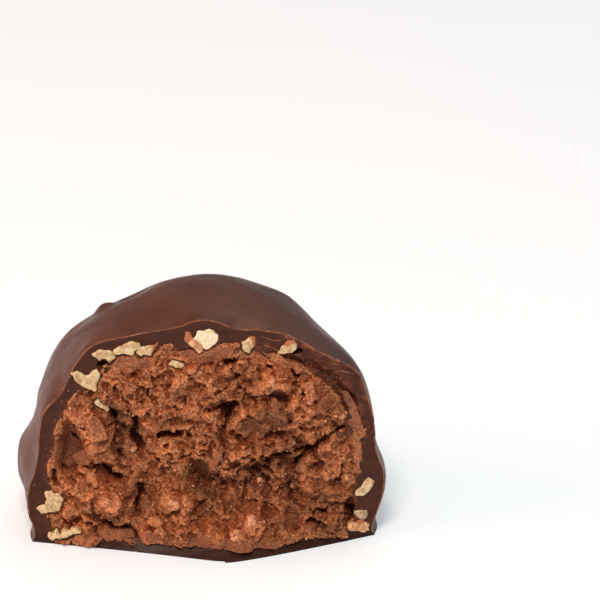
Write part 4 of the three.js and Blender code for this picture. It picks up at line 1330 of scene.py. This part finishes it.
BITS = [  # place in the cut's plane, half sizes across and up, and tilt in degrees
    ((-0.7, 21.1), (0.62, 0.55), 20),
    ((0, 20.6), (0.4, 0.35), 0),
    ((7.9, 20.1), (0.85, 0.62), -50),
    ((7.3, 19), (0.5, 0.5), 10),
    ((-4, 5.3), (1.0, 0.6), -5),
    ((-8.3, 11.3), (0.55, 0.4), 30),
    ((5.2, 3.2), (0.75, 0.7), 30),
    ((3.5, 2.1), (0.9, 0.5), -10),
    ((6.5, 6.8), (0.45, 0.45), 0),
    ((14.3, 8), (0.5, 0.8), -20),
    ((16.6, 7.5), (0.55, 0.8), 30),
    ((16, 15.5), (0.75, 0.6), 50),
    ((12.2, 17.6), (0.45, 0.4), 0),
    ((-11.6, 5.8), (0.5, 0.35), 30),
    ((-2.6, 17.3), (0.4, 0.32), 60),
    ((10.4, 6.1), (0.4, 0.5), 0),
]
BIT_DEPTH = 0.55  # half their depth
BIT_PROUD = 0.28  # how far they stand out of the paste round them
BIT_SPACING = 9.1  # each takes its knobs from another place in the noise

ball = bmesh.new()
bmesh.ops.create_icosphere(ball, subdivisions=4, radius=1)
ball_points = np.array([v.co for v in ball.verts])
ball_faces = np.array([[v.index for v in f.verts] for f in ball.faces])
ball.free()
face_v = v_line[np.argmax(field > 0, axis=1)]
bit_points, bit_faces = [], []
for order, ((x, z), (half_x, half_z), tilt) in enumerate(BITS):
    column_x, column_z = round((x - x_line[0]) / GRID), round((z - z_line[0]) / GRID)
    around = face_v[column_x - 3:column_x + 4, column_z - 3:column_z + 4]
    middle_v = np.median(around) + BIT_DEPTH - BIT_PROUD
    knobs = 1 + 0.22 * value_noise(ball_points + BIT_SPACING * order, 0.9, 81)
    knobs += 0.06 * value_noise(ball_points + BIT_SPACING * order, 0.3, 82)
    bit = ball_points * knobs[:, None] * np.array([half_x, BIT_DEPTH, half_z])
    lean = math.radians(tilt)
    across = bit[:, 0] * math.cos(lean) - bit[:, 2] * math.sin(lean)
    up_by = bit[:, 0] * math.sin(lean) + bit[:, 2] * math.cos(lean)
    spot = np.stack([x + across, middle_v + bit[:, 1], z + up_by], -1)
    spot[:, 1] += cut_y(spot[:, 0], spot[:, 2])
    bit_faces.append(ball_faces + len(ball_points) * order)
    bit_points.append(spot)
bits = make_mesh("hazelnut_bits", np.concatenate(bit_points), np.concatenate(bit_faces).tolist())

# Roasted hazelnut under a film of paste: a soft orange tan, browner where the paste still covers it,
# and slightly see-through, so that its shaded side stays warm.
coated, tree, shader = new_material("paste_coated_hazelnut")
place = add(tree, "ShaderNodeTexCoord").outputs["Object"]
cover = add(tree, "ShaderNodeTexNoise", {}, {
    "Vector": place, "Scale": 1 / (0.5 * MM), "Detail": 4}).outputs[0]
cover_share = add(tree, "ShaderNodeMapRange", {}, {
    "Value": cover, "From Min": 0.42, "From Max": 0.6}).outputs[0]
colour = add(tree, "ShaderNodeMix", COLOURS, {
    SHARE: cover_share, COLOUR_A: "#c98d66", COLOUR_B: "#94532f"}).outputs[MIXED]
bump = add(tree, "ShaderNodeBump", {}, {"Height": cover, "Distance": 0.1 * MM}).outputs[0]
feed(tree, shader, {
    "Base Color": colour, "Roughness": 0.45, "Subsurface Weight": 0.12,
    "Subsurface Radius": (1.0, 0.6, 0.35), "Subsurface Scale": 0.5 * MM, "Normal": bump})
bits.data.materials.append(coated)
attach(bits, "root")

# ---------------------------------------------------------------------------
# Scraped lip and curls
# The blade turned the edge of the skin up into a thin crisp lip, and drew fine curls and scratches
# out of the chocolate beside the nuts. They are thin, so light comes through them orange.
# ---------------------------------------------------------------------------

CURLS = [  # routes in the cut's plane, as (x, z) points
    [(6.6, 25.7), (7.4, 25.4), (8.2, 25.1), (9, 25.2)],
    [(6.8, 24.6), (7.6, 24.4), (8.4, 24), (8.8, 23.6)],
    [(6.7, 23.8), (7.1, 23.5), (7.4, 23.1)],
    [(9.2, 26.2), (9.5, 25.6), (9.9, 25.3)],
    [(14.7, 22.3), (15.3, 22), (16, 21.8)],
    [(14.9, 21), (15.9, 21.15), (16.8, 20.9), (17.4, 20.7)],
    [(12.4, 23.7), (13, 23.3), (13.4, 23.4)],
    [(3.6, 23.9), (3.9, 23.4), (3.7, 22.9)],
    [(0.4, 24), (0.8, 23.3), (1.2, 22.9)],
    [(-1.6, 22.8), (-0.9, 22.6), (-0.4, 22.2)],
    [(4.5, 22.1), (5, 22.2), (5.5, 21.9)],
]
CURL_RADIUS, LIP_RADIUS = 0.055, 0.05


def new_tree(name, inputs):
    """An empty Geometry Nodes tree that takes a geometry and the named inputs, with the sockets
    that bring them into it and the identifier of each."""
    tree = bpy.data.node_groups.new(name, "GeometryNodeTree")
    identifiers = {}
    for label, kind in {"Geometry": "Geometry", **inputs}.items():
        made = tree.interface.new_socket(label, in_out="INPUT", socket_type="NodeSocket" + kind)
        identifiers[label] = made.identifier
    tree.interface.new_socket("Geometry", in_out="OUTPUT", socket_type="NodeSocketGeometry")
    return tree, add(tree, "NodeGroupInput").outputs, identifiers


def shaken(tree, geometry, size, detail, amount):
    """Moves each point of a geometry by smooth noise with bumps of a size, up to about an amount."""
    noise = add(tree, "ShaderNodeTexNoise", {}, {"Scale": 1 / (size * MM), "Detail": detail}).outputs["Color"]
    even = add(tree, "ShaderNodeVectorMath", {"operation": "SUBTRACT"}, {
        0: noise, 1: (0.5, 0.5, 0.5)}).outputs[0]
    offset = add(tree, "ShaderNodeVectorMath", {"operation": "SCALE"}, {0: even, "Scale": amount}).outputs[0]
    return add(tree, "GeometryNodeSetPosition", {}, {"Geometry": geometry, "Offset": offset}).outputs[0]


def run_tree(piece, tree, identifiers, values):
    """The plain mesh that a tree makes of a piece."""
    modifier = piece.modifiers.new(tree.name, "NODES")
    modifier.node_group = tree
    for label, value in values.items():
        modifier[identifiers[label]] = value
    return plain_mesh(piece, modifier)


slivers, given, sliver_inputs = new_tree("drawn_slivers", {
    "Step": "Float", "Wander": "Float", "Raggedness": "Float", "Finish": "Material"})
stepped = add(slivers, "GeometryNodeResampleCurve", {"mode": "LENGTH"}, {
    "Curve": given["Geometry"], "Length": given["Step"]}).outputs[0]
swayed = shaken(slivers, stepped, 0.9, 2.0, given["Wander"])
ring = add(slivers, "GeometryNodeCurvePrimitiveCircle", {"mode": "RADIUS"}, {
    "Resolution": 6, "Radius": 1.0}).outputs[0]
own_radius = add(slivers, "GeometryNodeInputRadius").outputs[0]
tube = add(slivers, "GeometryNodeCurveToMesh", {}, {
    "Curve": swayed, "Profile Curve": ring, "Fill Caps": True, "Scale": own_radius}).outputs[0]
torn_edge = shaken(slivers, tube, 0.25, 2.0, given["Raggedness"])
real = add(slivers, "GeometryNodeRealizeInstances", {}, {"Geometry": torn_edge}).outputs[0]
finished = add(slivers, "GeometryNodeSetMaterial", {}, {
    "Geometry": real, "Material": given["Finish"]}).outputs[0]
add(slivers, "NodeGroupOutput", {}, {"Geometry": finished})

# Chocolate scraped thin: paler, more orange and a little glossier than the face it came from.
thin, tree, shader = new_material("scraped_chocolate")
place = add(tree, "ShaderNodeTexCoord").outputs["Object"]
patches = add(tree, "ShaderNodeTexNoise", {}, {
    "Vector": place, "Scale": 1 / (0.8 * MM), "Detail": 3}).outputs[0]
patch_share = add(tree, "ShaderNodeMapRange", {}, {
    "Value": patches, "From Min": 0.4, "From Max": 0.62}).outputs[0]
colour = add(tree, "ShaderNodeMix", COLOURS, {
    SHARE: patch_share, COLOUR_A: "#6c3a28", COLOUR_B: "#a56e4e"}).outputs[MIXED]
feed(tree, shader, {"Base Color": colour, "Roughness": 0.35, "Specular IOR Level": 0.4})

lip_route = rim[2:-2].copy()
lip_route[:, 1] -= 0.03
routes = [(lip_route, LIP_RADIUS * (0.75 + 0.6 * value_noise(lip_route, 1.6, 5)))]
for curl in CURLS:
    route = np.array([(x, cut_y(x, z) - 0.04, z) for x, z in curl])
    taper = np.linspace(-1, 1, len(route)) ** 2
    routes.append((route, CURL_RADIUS * (1.2 - 0.9 * taper)))
sliver_curve = bpy.data.curves.new("scraped_lip", "CURVE")
sliver_curve.dimensions = "3D"
for route, radii in routes:
    spline = sliver_curve.splines.new("POLY")
    spline.points.add(len(route) - 1)
    for point, (x, y, z), radius in zip(spline.points, route, radii):
        point.co = (x * MM, y * MM, z * MM, 1)
        point.radius = max(radius, 0.02) * MM
curls = new_object("scraped_lip", sliver_curve)
scraped_lip = run_tree(curls, slivers, sliver_inputs, {
    "Step": 0.12 * MM, "Wander": 0.16 * MM, "Raggedness": 0.07 * MM, "Finish": thin})
bpy.data.objects.remove(curls)
lip_piece = new_object("scraped_lip", scraped_lip)
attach(lip_piece, "root")

# ---------------------------------------------------------------------------
# Loose crumbs
# Grains that the knife broke off: paste of two sizes on the torn face, pale meal of the ground
# hazelnut among it, and a dusting of paste along the cut wall. All lie where they fell, stuck by
# their own fat.
# ---------------------------------------------------------------------------

strewn, given, strewn_inputs = new_tree("strewn_grains", {
    "Per square metre": "Float", "Smallest": "Float", "Largest": "Float", "Raggedness": "Float",
    "Seed": "Int", "Finish": "Material"})
loose = add(strewn, "GeometryNodeInputNamedAttribute", {"data_type": "FLOAT"}, {"Name": "loose"}).outputs[0]
density = add(strewn, "ShaderNodeMath", {"operation": "MULTIPLY"}, {
    0: loose, 1: given["Per square metre"]}).outputs[0]
scattered = add(strewn, "GeometryNodeDistributePointsOnFaces", {}, {
    "Mesh": given["Geometry"], "Density": density, "Seed": given["Seed"]}).outputs["Points"]
ball = add(strewn, "GeometryNodeMeshIcoSphere", {}, {"Radius": 1.0, "Subdivisions": 1}).outputs["Mesh"]
draw = add(strewn, "FunctionNodeRandomValue", {"data_type": "FLOAT"}, {"Seed": given["Seed"]}).outputs[1]
mostly_small = add(strewn, "ShaderNodeMath", {"operation": "POWER"}, {0: draw, 1: 2.5}).outputs[0]
size = add(strewn, "ShaderNodeMapRange", {}, {
    "Value": mostly_small, "To Min": given["Smallest"], "To Max": given["Largest"]}).outputs[0]
stretch = add(strewn, "FunctionNodeRandomValue", {"data_type": "FLOAT_VECTOR"}, {
    0: (0.55, 0.55, 0.55), 1: (1.2, 1.2, 1.2), "Seed": 5}).outputs[0]
shape = add(strewn, "ShaderNodeVectorMath", {"operation": "SCALE"}, {0: stretch, "Scale": size}).outputs[0]
turn = add(strewn, "FunctionNodeRandomValue", {"data_type": "FLOAT_VECTOR"}, {
    0: (0.0, 0.0, 0.0), 1: (6.28, 6.28, 6.28), "Seed": 6}).outputs[0]
placed = add(strewn, "GeometryNodeInstanceOnPoints", {}, {
    "Points": scattered, "Instance": ball, "Rotation": turn, "Scale": shape}).outputs[0]
tone = add(strewn, "FunctionNodeRandomValue", {"data_type": "FLOAT"}, {"Seed": 7}).outputs[1]
for label, value in (("tone", tone), ("grain_size", size)):
    placed = add(strewn, "GeometryNodeStoreNamedAttribute", {"data_type": "FLOAT", "domain": "INSTANCE"}, {
        "Geometry": placed, "Name": label, "Value": value}).outputs[0]
real = add(strewn, "GeometryNodeRealizeInstances", {}, {"Geometry": placed}).outputs[0]
own_size = add(strewn, "GeometryNodeInputNamedAttribute", {"data_type": "FLOAT"}, {
    "Name": "grain_size"}).outputs[0]
ragged = add(strewn, "ShaderNodeMath", {"operation": "MULTIPLY"}, {
    0: own_size, 1: given["Raggedness"]}).outputs[0]
knobbed = shaken(strewn, real, 0.22, 1.0, ragged)
finished = add(strewn, "GeometryNodeSetMaterial", {}, {
    "Geometry": knobbed, "Material": given["Finish"]}).outputs[0]
add(strewn, "NodeGroupOutput", {}, {"Geometry": finished})

# Meal of roasted hazelnut: pale, dry and a little glossy, each grain roasted to its own brown.
meal, tree, shader = new_material("ground_hazelnut")
tone_level = add(tree, "ShaderNodeAttribute", {"attribute_name": "tone"}).outputs["Fac"]
colour = add(tree, "ShaderNodeMix", COLOURS, {
    SHARE: tone_level, COLOUR_A: "#dcb088", COLOUR_B: "#a8643e"}).outputs[MIXED]
feed(tree, shader, {"Base Color": colour, "Roughness": 0.45, "Specular IOR Level": 0.4})

# Grains of each kind: what they lie on, finish, grains on a square millimetre, smallest and
# largest radius in millimetres, raggedness and slot.
STREWN = {
    "paste_crumbs": (filling, paste, 1.3, 0.10, 0.28, 2.2, "filling"),
    "paste_grains": (filling, paste, 5.0, 0.06, 0.13, 1.6, "filling"),
    "nut_meal": (filling, meal, 0.9, 0.05, 0.15, 1.6, "nut"),
    "wall_crumbs": (shell, paste, 3.0, 0.04, 0.12, 1.6, "filling"),
}
for seed, (name, kind) in enumerate(STREWN.items()):
    ground, finish, per_square, smallest, largest, raggedness, slot = kind
    grains = new_object(name, ground.data)
    grains.data = run_tree(grains, strewn, strewn_inputs, {
        "Per square metre": per_square / MM ** 2, "Smallest": smallest * MM, "Largest": largest * MM,
        "Raggedness": raggedness, "Seed": seed, "Finish": finish})
    grains.data.name = name
    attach(grains, "root")
